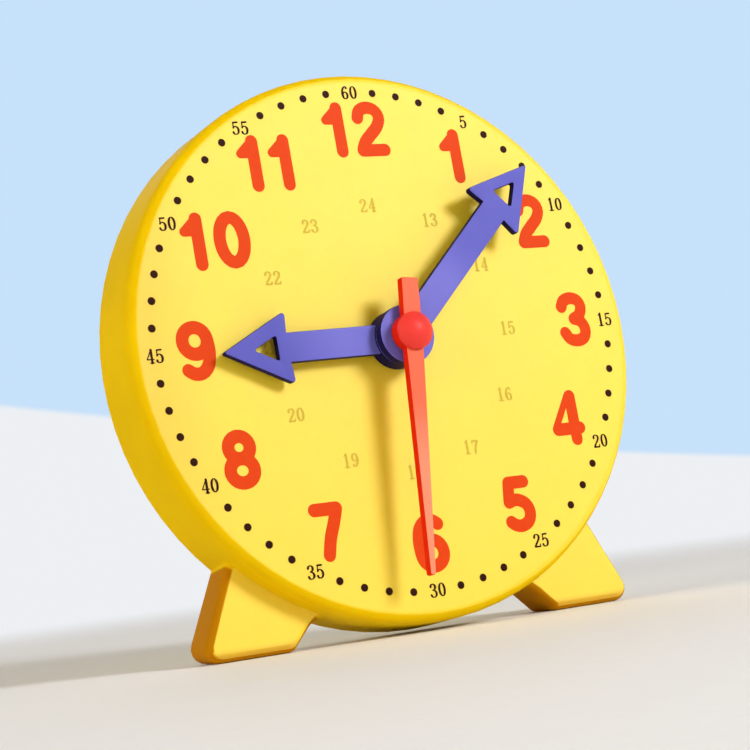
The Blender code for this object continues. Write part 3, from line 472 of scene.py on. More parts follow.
@dataclass(frozen=True)
class NodeSheet:
    """A material's nodes, with short ways to add and join them."""

    material: bpy.types.Material

    @classmethod
    def new(cls, name: str) -> "NodeSheet":
        """A new material with its plain surface shader."""
        material = bpy.data.materials.new(name)
        material.use_nodes = True
        return cls(material)

    @property
    def shader(self) -> bpy.types.Node:
        """The surface shader."""
        return self.material.node_tree.nodes["Principled BSDF"]

    def add(self, kind: str, **settings: object) -> bpy.types.Node:
        """A new node.

        Args:
            kind: its type name without the ShaderNode prefix.
            settings: properties to set on it.

        Returns:
            The node.
        """
        node = self.material.node_tree.nodes.new("ShaderNode" + kind)
        for name, value in settings.items():
            setattr(node, name, value)
        return node

    def join(self, source: bpy.types.NodeSocket, target: bpy.types.NodeSocket) -> None:
        """Links an output to an input."""
        self.material.node_tree.links.new(source, target)

    def own_place(self) -> bpy.types.NodeSocket:
        """Object coordinates, in metres."""
        return self.add("TexCoord").outputs["Object"]

    def clock_place(self) -> bpy.types.NodeSocket:
        """Coordinates in the clock's own frame.

        Returns:
            Metres from the hands' axis at the dial's face.
        """
        turn = self.add("Mapping", vector_type='TEXTURE')
        turn.inputs["Location"].default_value = FRAME.axis_point
        turn.inputs["Rotation"].default_value = (math.pi / 2 - FRAME.lean, 0.0, 0.0)
        self.join(self.own_place(), turn.inputs["Vector"])
        return turn.outputs["Vector"]

    def facing(self, direction: tuple[float, float, float]) -> bpy.types.NodeSocket:
        """How far the surface faces a direction of the clock's frame: 1 towards it, 0 across it.

        Args:
            direction: a direction in the clock's own frame.

        Returns:
            The product of the surface's normal and that direction's unit vector.
        """
        towards = FRAME.rotation() @ (np.array(direction) / np.linalg.norm(direction))
        product = self.add("VectorMath", operation='DOT_PRODUCT')
        product.inputs[1].default_value = tuple(towards)
        self.join(self.add("NewGeometry").outputs["Normal"], product.inputs[0])
        return product.outputs["Value"]

    def from_axis(self) -> bpy.types.NodeSocket:
        """The distance from the hands' axis.

        Returns:
            The length of the clock's x and y, in metres.
        """
        parts, flat, length = self.add("SeparateXYZ"), self.add("CombineXYZ"), self.add("VectorMath")
        length.operation = 'LENGTH'
        self.join(self.clock_place(), parts.inputs["Vector"])
        self.join(parts.outputs["X"], flat.inputs["X"])
        self.join(parts.outputs["Y"], flat.inputs["Y"])
        self.join(flat.outputs["Vector"], length.inputs[0])
        return length.outputs["Value"]

    def noise(self, place: bpy.types.NodeSocket, size: float, detail: float,
              stretch: tuple[float, float, float] = (1.0, 1.0, 1.0)) -> bpy.types.NodeSocket:
        """Soft noise.

        Args:
            place: where it is read.
            size: how far apart its spots are, in metres.
            detail: how many finer layers it has.
            stretch: scale of each direction before it is read.

        Returns:
            Its value, about 0 to 1.
        """
        spread = self.add("Mapping", vector_type='POINT')
        spread.inputs["Scale"].default_value = stretch
        self.join(place, spread.inputs["Vector"])
        node = self.add("TexNoise")
        node.inputs["Scale"].default_value = 1 / size
        node.inputs["Detail"].default_value = detail
        self.join(spread.outputs["Vector"], node.inputs["Vector"])
        return node.outputs["Fac"]

    def ranged(self, value: bpy.types.NodeSocket, low: float, high: float, to_low: float,
               to_high: float, smooth: bool = False) -> bpy.types.NodeSocket:
        """A value moved from one range to another and held inside it.

        Args:
            value: the value.
            low: the first range's start.
            high: its end.
            to_low: the second range's start.
            to_high: its end.
            smooth: eases both ends.

        Returns:
            The moved value.
        """
        node = self.add("MapRange", interpolation_type='SMOOTHSTEP' if smooth else 'LINEAR')
        for name, number in (("From Min", low), ("From Max", high), ("To Min", to_low), ("To Max", to_high)):
            node.inputs[name].default_value = number
        self.join(value, node.inputs["Value"])
        return node.outputs["Result"]

    def blend(self, share: bpy.types.NodeSocket, first: object, second: object) -> bpy.types.NodeSocket:
        """A colour between two.

        Args:
            share: 0 for the first, 1 for the second.
            first: a plain colour, or an output that gives one.
            second: the same.

        Returns:
            The colour.
        """
        node = self.add("Mix", data_type='RGBA')
        self.join(share, node.inputs["Factor"])
        colours = [socket for socket in node.inputs if socket.type == 'RGBA']
        for colour, socket in zip((first, second), colours):
            if isinstance(colour, tuple):
                socket.default_value = (*colour, 1.0)
            else:
                self.join(colour, socket)
        return next(socket for socket in node.outputs if socket.type == 'RGBA')

    def bumped(self, *layers: tuple[bpy.types.NodeSocket, float]) -> None:
        """Puts relief on the surface.

        Args:
            layers: pairs of a height from 0 to 1 and the depth in metres that 1 stands for.
        """
        normal = None
        for height, depth in layers:
            node = self.add("Bump")
            node.inputs["Distance"].default_value = depth
            self.join(height, node.inputs["Height"])
            if normal is not None:
                self.join(normal, node.inputs["Normal"])
            normal = node.outputs["Normal"]
        self.join(normal, self.shader.inputs["Normal"])


@dataclass(frozen=True)
class MouldedPlastic:
    """Coloured plastic from a polished mould: faintly cloudy, satin, and slightly translucent."""

    name: str
    colour: Colour
    deep_colour: Colour
    roughness: float = 0.34
    cloud_size: float = 0.014
    cloud_span: Span = (0.35, 0.7)
    cloud_share: float = 0.22
    cloud_detail: float = 3.0
    shine_share: float = 0.4
    shine_detail: float = 4.0
    grain_size: float = 0.0006
    grain_depth: float = 0.0000035
    grain_detail: float = 2.0
    ripple_size: float = 0.009
    ripple_depth: float = 0.00001
    ripple_detail: float = 1.0
    gloss: float = 0.35
    uneven: float = 0.045
    scatter: float = 0.0
    scatter_reach: Colour = (1.0, 0.40, 0.08)
    scatter_depth: float = 0.002

    def tone(self, sheet: NodeSheet) -> bpy.types.NodeSocket:
        """The colour: the plain one, lightly clouded with the deep one.

        Args:
            sheet: the material's nodes.

        Returns:
            The colour.
        """
        cloud = sheet.noise(sheet.own_place(), self.cloud_size, self.cloud_detail)
        return sheet.blend(sheet.ranged(cloud, *self.cloud_span, 0.0, self.cloud_share), self.colour,
                           self.deep_colour)

    def set_gloss(self, sheet: NodeSheet) -> None:
        """Sets the share of light that the surface mirrors."""
        sheet.shader.inputs["Specular IOR Level"].default_value = self.gloss

    def build(self) -> bpy.types.Material:
        """The finished material.

        Returns:
            The material.
        """
        sheet = NodeSheet.new(self.name)
        place = sheet.own_place()
        shader = sheet.shader
        sheet.join(self.tone(sheet), shader.inputs["Base Color"])
        shine = sheet.noise(place, self.cloud_size * self.shine_share, self.shine_detail)
        roughness = sheet.ranged(shine, *WIDE_SPAN, self.roughness - self.uneven,
                                 self.roughness + self.uneven)
        sheet.join(roughness, shader.inputs["Roughness"])
        sheet.bumped((sheet.noise(place, self.ripple_size, self.ripple_detail), self.ripple_depth),
                     (sheet.noise(place, self.grain_size, self.grain_detail), self.grain_depth))
        self.set_gloss(sheet)
        if self.scatter:
            shader.inputs["Subsurface Weight"].default_value = self.scatter
            shader.inputs["Subsurface Radius"].default_value = self.scatter_reach
            shader.inputs["Subsurface Scale"].default_value = self.scatter_depth
        return sheet.material


@dataclass(frozen=True)
class PaintedShadePlastic(MouldedPlastic):
    """Plastic with painted shade: light on the face it shows the viewer, and deeper down its sides as if
    they were in shade.
    """

    # painted shade: the colour of surfaces that turn away from the front
    side_shade_colour: Colour = (0.5, 0.5, 0.5)
    front: tuple[float, float, float] = (0.0, 0.0, 1.0)
    side_facing: float = 0.55
    front_facing: float = 0.85
    side_gloss: float = 0.02
    broad_cloud_detail: float = 2.0
    broad_cloud_tone: float = 0.93

    def unshaded_share(self, sheet: NodeSheet) -> bpy.types.NodeSocket:
        """0 where the surface looks away from the front and gets the painted shade, 1 where it looks there.
        """
        return sheet.ranged(sheet.facing(self.front), self.side_facing, self.front_facing, 0.0, 1.0, True)

    def set_gloss(self, sheet: NodeSheet) -> None:
        """Sets the gloss, which the sides have less of."""
        level = sheet.ranged(self.unshaded_share(sheet), 0.0, 1.0, self.side_gloss, self.gloss)
        sheet.join(level, sheet.shader.inputs["Specular IOR Level"])

    def clouded(self, sheet: NodeSheet, colour: Colour) -> bpy.types.NodeSocket:
        """A colour and its darker clouds.

        Args:
            sheet: the material's nodes.
            colour: the colour between the clouds.

        Returns:
            The clouded colour.
        """
        noise = sheet.noise(sheet.own_place(), self.cloud_size, self.broad_cloud_detail)
        return sheet.blend(sheet.ranged(noise, *self.cloud_span, 0.0, 1.0), colour,
                           tuple(part * self.broad_cloud_tone for part in colour))

    def front_tone(self, sheet: NodeSheet) -> bpy.types.NodeSocket:
        """The tone of the face."""
        return MouldedPlastic.tone(self, sheet)

    def tone(self, sheet: NodeSheet) -> bpy.types.NodeSocket:
        """The painted shade colour where the surface looks away from the front, and the face's tone in
        front.
        """
        return sheet.blend(self.unshaded_share(sheet), self.clouded(sheet, self.side_shade_colour),
                           self.front_tone(sheet))


@dataclass(frozen=True)
class HandPlastic(PaintedShadePlastic):
    """Plastic of a hand, whose face changes its tone from the hub to the tip."""

    tip_colour: Colour = (0.5, 0.5, 0.5)
    fade_from: float = 0.011
    fade_to: float = 0.025

    def front_tone(self, sheet: NodeSheet) -> bpy.types.NodeSocket:
        """The hub's tone, and the tip's further out."""
        out = sheet.ranged(sheet.from_axis(), self.fade_from, self.fade_to, 0.0, 1.0, True)
        return sheet.blend(out, MouldedPlastic.tone(self, sheet), self.clouded(sheet, self.tip_colour))


@dataclass(frozen=True)
class CasePlastic(PaintedShadePlastic):
    """The case's yellow with painted shade: light in front, deeper towards the dial's left rim, down the
    band and at the soles.

    The rim's ends are places on the clock's x, the foot radius is where the case's circle ends, and the
    soles' heights are above the floor.
    """

    # painted shade: the face turns deeper towards the dial's left rim, away from the key lamp
    left_shade_colour: Colour = (0.92, 0.58, 0.008)
    rim_end: float = -0.0485
    rim_start: float = -0.0330
    # painted shade on the feet's flanks
    flank_shade_colour: Colour = (0.50, 0.20, 0.0008)
    foot_radius: float = 0.0511
    foot_blend: float = 0.0004
    # painted shade along the feet's lower edges, just above the floor
    sole_shade_colour: Colour = (0.66, 0.36, 0.001)
    sole_low: float = 0.0006
    sole_high: float = 0.0025

    def front_tone(self, sheet: NodeSheet) -> bpy.types.NodeSocket:
        """The face's light yellow, with painted shade making it a little deeper towards the viewer's left
        edge.

        Args:
            sheet: the material's nodes.

        Returns:
            The tone of the face.
        """
        parts = sheet.add("SeparateXYZ")
        sheet.join(sheet.clock_place(), parts.inputs["Vector"])
        inner = sheet.ranged(parts.outputs["X"], self.rim_end, self.rim_start, 0.0, 1.0, True)
        return sheet.blend(inner, self.left_shade_colour, MouldedPlastic.tone(self, sheet))

    def tone(self, sheet: NodeSheet) -> bpy.types.NodeSocket:
        """Inside the case's circle the face and its painted side shade; outside it the feet's front, with
        painted shade on their flanks and lower edges.

        Args:
            sheet: the material's nodes.

        Returns:
            The colour.
        """
        own = sheet.add("SeparateXYZ")
        sheet.join(sheet.own_place(), own.inputs["Vector"])
        above_sole = sheet.ranged(own.outputs["Z"], self.sole_low, self.sole_high, 0.0, 1.0, True)
        # painted shade: flanks and lower edges of the feet are coloured as if in shade
        deep = self.clouded(sheet, self.flank_shade_colour)
        face = sheet.blend(above_sole, self.clouded(sheet, self.sole_shade_colour),
                           MouldedPlastic.tone(self, sheet))
        foot = sheet.blend(self.unshaded_share(sheet), deep, face)
        outside = sheet.ranged(sheet.from_axis(), self.foot_radius, self.foot_radius + self.foot_blend,
                               0.0, 1.0)
        return sheet.blend(outside, PaintedShadePlastic.tone(self, sheet), foot)


@dataclass(frozen=True)
class PrintInk:
    """Ink pressed on the dial: even, a little uneven in thickness and duller than the plastic."""

    name: str
    colour: Colour
    thin_colour: Colour
    roughness: float = 0.44
    smoothest: float = -0.05
    roughest: float = 0.07
    gloss: float = 0.03
    speck_size: float = 0.0011
    speck_detail: float = 3.0
    speck_span: Span = (0.42, 0.75)
    thin_share: float = 0.35
    grain_share: float = 0.4
    grain_depth: float = 0.000004
    grain_detail: float = 2.0

    def build(self) -> bpy.types.Material:
        """The finished material.

        Returns:
            The material.
        """
        sheet = NodeSheet.new(self.name)
        place = sheet.own_place()
        shader = sheet.shader
        speck = sheet.noise(place, self.speck_size, self.speck_detail)
        thin = sheet.ranged(speck, *self.speck_span, 0.0, self.thin_share)
        sheet.join(sheet.blend(thin, self.colour, self.thin_colour), shader.inputs["Base Color"])
        roughness = sheet.ranged(speck, *WIDE_SPAN, self.roughness + self.smoothest,
                                 self.roughness + self.roughest)
        sheet.join(roughness, shader.inputs["Roughness"])
        grain = sheet.noise(place, self.speck_size * self.grain_share, self.grain_detail)
        sheet.bumped((grain, self.grain_depth))
        shader.inputs["Specular IOR Level"].default_value = self.gloss
        return sheet.material


@dataclass(frozen=True)
class TurnedMetal:
    """Bar turned on a lathe, with fine rings round the axis."""

    name: str
    colour: Colour
    worn_colour: Colour
    roughness: float = 0.28
    smoothest: float = -0.06
    roughest: float = 0.12
    ring_size: float = 0.0004
    ring_stretch: tuple[float, float, float] = (0.05, 0.05, 1.0)
    ring_detail: float = 2.0
    ring_depth: float = 0.000006
    stain_size: float = 0.003
    stain_detail: float = 3.0
    stain_span: Span = (0.4, 0.75)
    stain_share: float = 0.5

    def build(self) -> bpy.types.Material:
        """The finished material.

        Returns:
            The material.
        """
        sheet = NodeSheet.new(self.name)
        place, shader = sheet.clock_place(), sheet.shader
        rings = sheet.noise(place, self.ring_size, self.ring_detail, self.ring_stretch)
        noise = sheet.noise(place, self.stain_size, self.stain_detail)
        stain = sheet.ranged(noise, *self.stain_span, 0.0, self.stain_share)
        sheet.join(sheet.blend(stain, self.colour, self.worn_colour), shader.inputs["Base Color"])
        roughness = sheet.ranged(rings, *WIDE_SPAN, self.roughness + self.smoothest,
                                 self.roughness + self.roughest)
        sheet.join(roughness, shader.inputs["Roughness"])
        sheet.bumped((rings, self.ring_depth))
        shader.inputs["Metallic"].default_value = 1.0
        return sheet.material


@dataclass(frozen=True)
class StudioCard:
    """Pale card: near white on the floor and, up the wall, an even pale blue that needs no lamp.

    Its glow starts and is full at two distances from the clock. Above a slanted edge it is blue: the
    edge runs straight between two places, each an x and a height, and stays level past the second.
    """

    name: str = "studio_card"
    floor_colour: Colour = (0.89, 0.89, 0.89)
    haze_colour: Colour = (0.85, 0.87, 0.90)
    wall_colour: Colour = (0.57, 0.755, 0.96)
    far_from: float = 0.16
    far_to: float = 0.55
    edge_from: Span = (-2.2, 0.897)
    edge_to: Span = (1.475, 0.03)
    edge_blend: float = 0.010
    fibre_size: float = 0.004
    fibre_detail: float = 3.0
    fibre_tone: float = 0.985
    roughness: float = 0.7
    gloss: float = 0.2

    def build(self) -> bpy.types.Material:
        """The finished material.

        Only the camera, glossy surfaces and clear ones see the glow, so it lights nothing.

        Returns:
            The material.
        """
        sheet = NodeSheet.new(self.name)
        parts = sheet.add("SeparateXYZ")
        place, shader = sheet.own_place(), sheet.shader
        sheet.join(place, parts.inputs["Vector"])
        fibre = sheet.ranged(sheet.noise(place, self.fibre_size, self.fibre_detail), *WIDE_SPAN, 0.0, 1.0)
        fibre_colour = tuple(part * self.fibre_tone for part in self.floor_colour)
        sheet.join(sheet.blend(fibre, self.floor_colour, fibre_colour), shader.inputs["Base Color"])
        shader.inputs["Roughness"].default_value = self.roughness
        shader.inputs["Specular IOR Level"].default_value = self.gloss
        rays = sheet.add("LightPath")
        seen = rays.outputs["Is Camera Ray"]
        for kind in ("Is Glossy Ray", "Is Transmission Ray"):
            seen = self.combined(sheet, 'MAXIMUM', seen, rays.outputs[kind])
        away = sheet.add("VectorMath", operation='LENGTH')
        sheet.join(place, away.inputs[0])
        far = sheet.ranged(away.outputs["Value"], self.far_from, self.far_to, 0.0, 1.0, True)
        share = self.combined(sheet, 'MULTIPLY', far, seen)
        glow = sheet.add("Emission")
        edge = sheet.ranged(parts.outputs["X"], self.edge_from[0], self.edge_to[0], self.edge_from[1],
                            self.edge_to[1])
        above = self.combined(sheet, 'SUBTRACT', parts.outputs["Z"], edge)
        blue = sheet.ranged(above, 0.0, self.edge_blend, 0.0, 1.0, True)
        sheet.join(sheet.blend(blue, self.haze_colour, self.wall_colour), glow.inputs["Color"])
        mix = sheet.add("MixShader")
        sheet.join(share, mix.inputs["Fac"])
        sheet.join(shader.outputs["BSDF"], mix.inputs[1])
        sheet.join(glow.outputs["Emission"], mix.inputs[2])
        output = sheet.material.node_tree.nodes["Material Output"]
        sheet.join(mix.outputs["Shader"], output.inputs["Surface"])
        return sheet.material

    @staticmethod
    def combined(sheet: NodeSheet, operation: str, first: bpy.types.NodeSocket,
                 second: bpy.types.NodeSocket) -> bpy.types.NodeSocket:
        """Two values put together.

        Args:
            sheet: the material's nodes.
            operation: the name of the sum that joins them.
            first: one value.
            second: the other.

        Returns:
            The result.
        """
        node = sheet.add("Math", operation=operation)
        sheet.join(first, node.inputs[0])
        sheet.join(second, node.inputs[1])
        return node.outputs["Value"]


# Sub-assemblies

@dataclass(frozen=True)
class NodeSkin:
    """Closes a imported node's loose triangles and shades its round sides smooth, its mesh left alone."""

    sharp_angle: float = math.radians(32)
    weld: float = 0.0000005
    name: str = "closed_smooth_skin"

    def tree(self) -> bpy.types.NodeTree:
        """The modifier's nodes: drop stored normals, weld, smooth faces, sharpen steep edges.

        Returns:
            The node group, made at the first call.
        """
        found = bpy.data.node_groups.get(self.name)
        if found:
            return found
        tree = bpy.data.node_groups.new(self.name, 'GeometryNodeTree')
        tree.interface.new_socket("Geometry", in_out='INPUT', socket_type='NodeSocketGeometry')
        tree.interface.new_socket("Geometry", in_out='OUTPUT', socket_type='NodeSocketGeometry')
        nodes, links = tree.nodes, tree.links
        start, end = nodes.new("NodeGroupInput"), nodes.new("NodeGroupOutput")
        bare = nodes.new("GeometryNodeRemoveAttribute")
        bare.inputs["Name"].default_value = "custom_normal"
        merge = nodes.new("GeometryNodeMergeByDistance")
        merge.inputs["Distance"].default_value = self.weld
        faces = nodes.new("GeometryNodeSetShadeSmooth")
        edges = nodes.new("GeometryNodeSetShadeSmooth")
        edges.domain = 'EDGE'
        edges.inputs["Shade Smooth"].default_value = False
        angle = nodes.new("GeometryNodeInputMeshEdgeAngle")
        steep = nodes.new("FunctionNodeCompare")
        steep.operation = 'GREATER_THAN'
        steep.inputs["B"].default_value = self.sharp_angle
        links.new(start.outputs["Geometry"], bare.inputs["Geometry"])
        links.new(bare.outputs["Geometry"], merge.inputs["Geometry"])
        links.new(merge.outputs["Geometry"], faces.inputs["Geometry"])
        links.new(faces.outputs["Geometry"], edges.inputs["Geometry"])
        links.new(angle.outputs["Unsigned Angle"], steep.inputs["A"])
        links.new(steep.outputs["Result"], edges.inputs["Selection"])
        links.new(edges.outputs["Geometry"], end.inputs["Geometry"])
        return tree

    def dress(self, nodes: dict[str, bpy.types.Object], names: tuple[str, ...],
              material: bpy.types.Material) -> None:
        """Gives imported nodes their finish.

        Args:
            nodes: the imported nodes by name.
            names: which of them.
            material: the finish.
        """
        for name in names:
            node = nodes[name]
            for place in node.material_slots:
                place.material = material
            skin = node.modifiers.new(self.name, 'NODES')
            skin.node_group = self.tree()
            shading = node.modifiers.new("flat_faces_first", 'WEIGHTED_NORMAL')
            shading.mode = 'FACE_AREA'
            shading.keep_sharp = True
            LOG.info("%s: %s", name, material.name)


@dataclass(frozen=True)
class Case:
    """The yellow moulding with its feet, and the cover screwed to its back."""

    shell: tuple[str, ...] = ("case_shell",)
    cover: tuple[str, ...] = ("back_cover",)
    # The side colour is painted shade; front leans right and a little up, towards the key lamp, so the
    # painted shade gathers on the left.
    plastic: CasePlastic = CasePlastic("case_yellow_plastic", (0.94, 0.675, 0.018), (0.93, 0.645, 0.012),
                                       roughness=0.54, gloss=0.60, uneven=0.012, scatter=0.25,
                                       scatter_depth=0.0025,
                                       side_shade_colour=(0.82, 0.53, 0.001), front=(0.35, 0.10, 0.93),
                                       side_facing=0.80, front_facing=0.90)
    cover_plastic: MouldedPlastic = MouldedPlastic("cover_yellow_plastic", (0.88, 0.66, 0.035),
                                                   (0.85, 0.60, 0.02), roughness=0.44, grain_size=0.0004,
                                                   grain_depth=0.000008, scatter=0.12)

    def build(self, nodes: dict[str, bpy.types.Object], skin: NodeSkin) -> None:
        """Dresses the case's nodes."""
        skin.dress(nodes, self.shell, self.plastic.build())
        skin.dress(nodes, self.cover, self.cover_plastic.build())


@dataclass(frozen=True)
class DialPrint:
    """What is printed on the dial: hours, minute dots, minutes by fives, and the hours after noon.

    Places are in millimetres from the print's middle. An hour's row holds its text, where its middle lies to
    the right and upwards, and how far each figure's middle is from that.
    """

    middle: tuple[float, float] = (-0.055, 0.84)
    ring_radius: float = 46.05
    dot_radius: float = 0.71
    late_middle: tuple[float, float] = (-0.35, 0.75)
    late_radius: float = 24.65
    small_samples: int = 18
    small_caps: int = 3
    hours: tuple[tuple[str, float, float, tuple[float, ...]], ...] = (
        ("12", 0.0, 39.0, (-4.35, 3.10)), ("1", 19.25, 33.25, (0.0,)), ("2", 33.75, 20.0, (0.0,)),
        ("3", 39.17, 0.46, (0.0,)), ("4", 33.54, -18.13, (0.0,)), ("5", 19.79, -32.75, (0.0,)),
        ("6", 0.29, -37.80, (0.0,)), ("7", -19.20, -33.33, (0.0,)), ("8", -33.40, -19.17, (0.0,)),
        ("9", -38.30, 0.41, (0.0,)), ("10", -31.17, 19.54, (-4.40, 2.98)),
        ("11", -19.37, 33.24, (-2.95, 3.22)))
    red: PrintInk = PrintInk("red_ink", (0.73, 0.056, 0.006), (0.75, 0.076, 0.011))
    dark: PrintInk = PrintInk("dark_brown_ink", (0.028, 0.006, 0.002), (0.06, 0.018, 0.005))
    tan: PrintInk = PrintInk("tan_ink", (0.60, 0.44, 0.045), (0.68, 0.52, 0.06), speck_size=0.0007)

    @staticmethod
    def on_ring(middle: tuple[float, float], radius: float, turn: float) -> tuple[float, float]:
        """A place on a ring.

        Args:
            middle: the ring's middle on the dial, in millimetres.
            radius: the ring's radius in millimetres.
            turn: the share of a full turn clockwise from twelve.

        Returns:
            Its x and y on the dial.
        """
        angle = 2 * math.pi * turn
        return middle[0] + radius * math.sin(angle), middle[1] + radius * math.cos(angle)

    def number(self, layer: PrintedLayer, text: str, figures: BookNumerals, x: float, y: float) -> None:
        """Lays one small number about a place on the dial.

        Args:
            layer: the ink it goes into.
            text: the number.
            figures: the shapes of its figures.
            x: its middle on the dial, to the right, in millimetres.
            y: the same, upwards.
        """
        pitch = figures.pitch_share * figures.height_mm
        shifts = tuple((index - (len(text) - 1) / 2) * pitch for index in range(len(text)))
        layer.figures(text, figures.shapes(), Pen.BOOK, x, y, shifts)

    def build(self) -> None:
        """Prints the dial."""
        hours = PrintedLayer("dial_hour_numerals")
        bold = BoldNumerals().shapes()
        for text, x, y, shifts in self.hours:
            hours.figures(text, bold, Pen.ROUND, self.middle[0] + x, self.middle[1] + y, shifts)
        hours.build(self.red.build())

        dark = self.dark.build()
        dots = PrintedLayer("dial_minute_dots")
        minute = np.array([step for step in range(MINUTES) if step % MINUTES_TO_AN_HOUR_MARK])
        angle = minute * 2 * math.pi / MINUTES
        dots.dots(np.stack([self.middle[0] + self.ring_radius * np.sin(angle),
                            self.middle[1] + self.ring_radius * np.cos(angle)], axis=1), self.dot_radius)
        dots.build(dark)

        small = BookNumerals()
        minutes = PrintedLayer("dial_minute_numbers", samples=self.small_samples, cap_steps=self.small_caps)
        late = PrintedLayer("dial_late_hour_numbers", samples=self.small_samples, cap_steps=self.small_caps)
        for step in range(1, HOURS + 1):
            place = self.on_ring(self.middle, self.ring_radius, step / HOURS)
            self.number(minutes, str(step * MINUTES_TO_AN_HOUR_MARK), small, *place)
            place = self.on_ring(self.late_middle, self.late_radius, step / HOURS)
            self.number(late, str(step + HOURS), small, *place)
        minutes.build(dark)
        late.build(self.tan.build())


@dataclass(frozen=True)
class Hands:
    """The two violet arrows, the red seconds pointer and its cap."""

    arrows: tuple[str, ...] = ("hour_hand", "minute_hand")
    pointer: tuple[str, ...] = ("second_hand",)
    cap: tuple[str, ...] = ("centre_cap",)
    # painted shade: the dark side colour darkens the arrows' sides
    violet: HandPlastic = HandPlastic("hand_violet_plastic", (0.160, 0.153, 0.57), (0.14, 0.132, 0.54),
                                      roughness=0.36, gloss=0.07, side_shade_colour=(0.012, 0.009, 0.06),
                                      tip_colour=(0.105, 0.100, 0.475))
    # painted shade: the dark side colour on the pointer's sides; painted highlight: the lighter, pinker tip
    # colour stands in for gloss on its flat top
    red: HandPlastic = HandPlastic("pointer_red_plastic", (0.90, 0.15, 0.07), (0.90, 0.13, 0.06),
                                   roughness=0.36, gloss=0.05, side_shade_colour=(0.70, 0.016, 0.003),
                                   tip_colour=(0.94, 0.285, 0.16))
    deep_red: MouldedPlastic = MouldedPlastic("cap_red_plastic", (0.80, 0.046, 0.034), (0.76, 0.036, 0.024),
                                              roughness=0.40, gloss=0.16)

    def build(self, nodes: dict[str, bpy.types.Object], skin: NodeSkin) -> None:
        """Dresses the hands.

        Args:
            nodes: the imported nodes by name.
            skin: closes and smooths them.
        """
        skin.dress(nodes, self.arrows, self.violet.build())
        skin.dress(nodes, self.pointer, self.red.build())
        skin.dress(nodes, self.cap, self.deep_red.build())


@dataclass(frozen=True)
class WheelTrain:
    """Wheels, pinions and plate in cream plastic, arbors and screws in steel, the minute pipe in brass."""

    wheels: tuple[str, ...] = ("gear_plate", "third_wheel", "third_pinion", "second_pinion", "centre_wheel",
                               "cannon_pinion", "motion_wheel", "motion_pinion", "hour_wheel")
    steels: tuple[str, ...] = ("motion_post", "third_arbor", "second_arbor", "plate_screw_1",
                               "plate_screw_2", "plate_screw_3", "plate_screw_4", "cover_screw_1",
                               "cover_screw_2", "cover_screw_3", "cover_screw_4")
    pipes: tuple[str, ...] = ("minute_pipe",)
    cream: MouldedPlastic = MouldedPlastic("gear_cream_plastic", (0.80, 0.76, 0.64), (0.74, 0.69, 0.56),
                                           roughness=0.46, cloud_size=0.006, scatter=0.15,
                                           scatter_reach=(1.0, 0.8, 0.6), scatter_depth=0.001)
    steel: TurnedMetal = TurnedMetal("turned_steel", (0.60, 0.60, 0.61), (0.46, 0.45, 0.45))
    brass: TurnedMetal = TurnedMetal("drawn_brass", (0.80, 0.58, 0.24), (0.62, 0.42, 0.16))

    def build(self, nodes: dict[str, bpy.types.Object], skin: NodeSkin) -> None:
        """Dresses the train.

        Args:
            nodes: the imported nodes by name.
            skin: closes and smooths them.
        """
        skin.dress(nodes, self.wheels, self.cream.build())
        skin.dress(nodes, self.steels, self.steel.build())
        skin.dress(nodes, self.pipes, self.brass.build())


@dataclass(frozen=True)
class SettingKnob:
    """The fluted knob behind the cover."""

    knob: tuple[str, ...] = ("knob",)
    violet: MouldedPlastic = MouldedPlastic("knob_violet_plastic", (0.15, 0.142, 0.60), (0.13, 0.12, 0.55),
                                            roughness=0.36, grain_depth=0.000006)

    def build(self, nodes: dict[str, bpy.types.Object], skin: NodeSkin) -> None:
        """Dresses the knob."""
        skin.dress(nodes, self.knob, self.violet.build())


# Studio

@dataclass(frozen=True)
class Backdrop:
    """A round floor that curves up into a wall, in one sheet."""

    floor_radius: float = 2.05
    bend_radius: float = 0.15
    height: float = 1.7
    steps_round: int = 96
    steps_up: int = 24
    card: StudioCard = StudioCard()

    def build(self) -> bpy.types.Object:
        """The sheet: a flat disc, then the profile of quarter circle and wall, turned about z.

        Returns:
            The sheet, marked as staging.
        """
        rise = np.linspace(-math.pi / 2, 0, self.steps_up + 1)
        profile = np.vstack([np.stack([self.floor_radius + self.bend_radius * np.cos(rise),
                                       self.bend_radius + self.bend_radius * np.sin(rise)], axis=1),
                             [(self.floor_radius + self.bend_radius, self.height)]])
        turn = np.arange(self.steps_round) * 2 * math.pi / self.steps_round
        around = np.stack([np.cos(turn), np.sin(turn)], axis=1)
        grid = np.zeros((len(profile), self.steps_round, 3))
        grid[..., :2] = profile[:, :1, None] * around
        grid[..., 2] = profile[:, 1:]
        faces = grid_faces(len(profile), self.steps_round, False, True).tolist()
        mesh = bpy.data.meshes.new("backdrop")
        mesh.from_pydata(grid.reshape(-1, 3), [], [list(range(self.steps_round))] + faces)
        mesh.shade_smooth()
        sheet = bpy.data.objects.new("backdrop", mesh)
        bpy.context.scene.collection.objects.link(sheet)
        mesh.materials.append(self.card.build())
        sheet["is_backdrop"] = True
        return sheet


@dataclass(frozen=True)
class Lamp:
    """A round soft lamp that looks at a point."""

    name: str
    direction: tuple[float, float, float]
    distance: float
    size: float
    power: float
    colour: Colour = (1.0, 1.0, 1.0)

    def build(self, target: Vector) -> None:
        """Hangs the lamp.

        Args:
            target: the point it looks at.
        """
        data = bpy.data.lights.new(self.name, 'AREA')
        data.shape = 'DISK'
        data.size = self.size
        data.energy = self.power
        data.color = self.colour
        lamp = bpy.data.objects.new(self.name, data)
        bpy.context.scene.collection.objects.link(lamp)
        away = Vector(self.direction).normalized()
        lamp.location = target + away * self.distance
        lamp.rotation_euler = away.to_track_quat('Z', 'Y').to_euler()


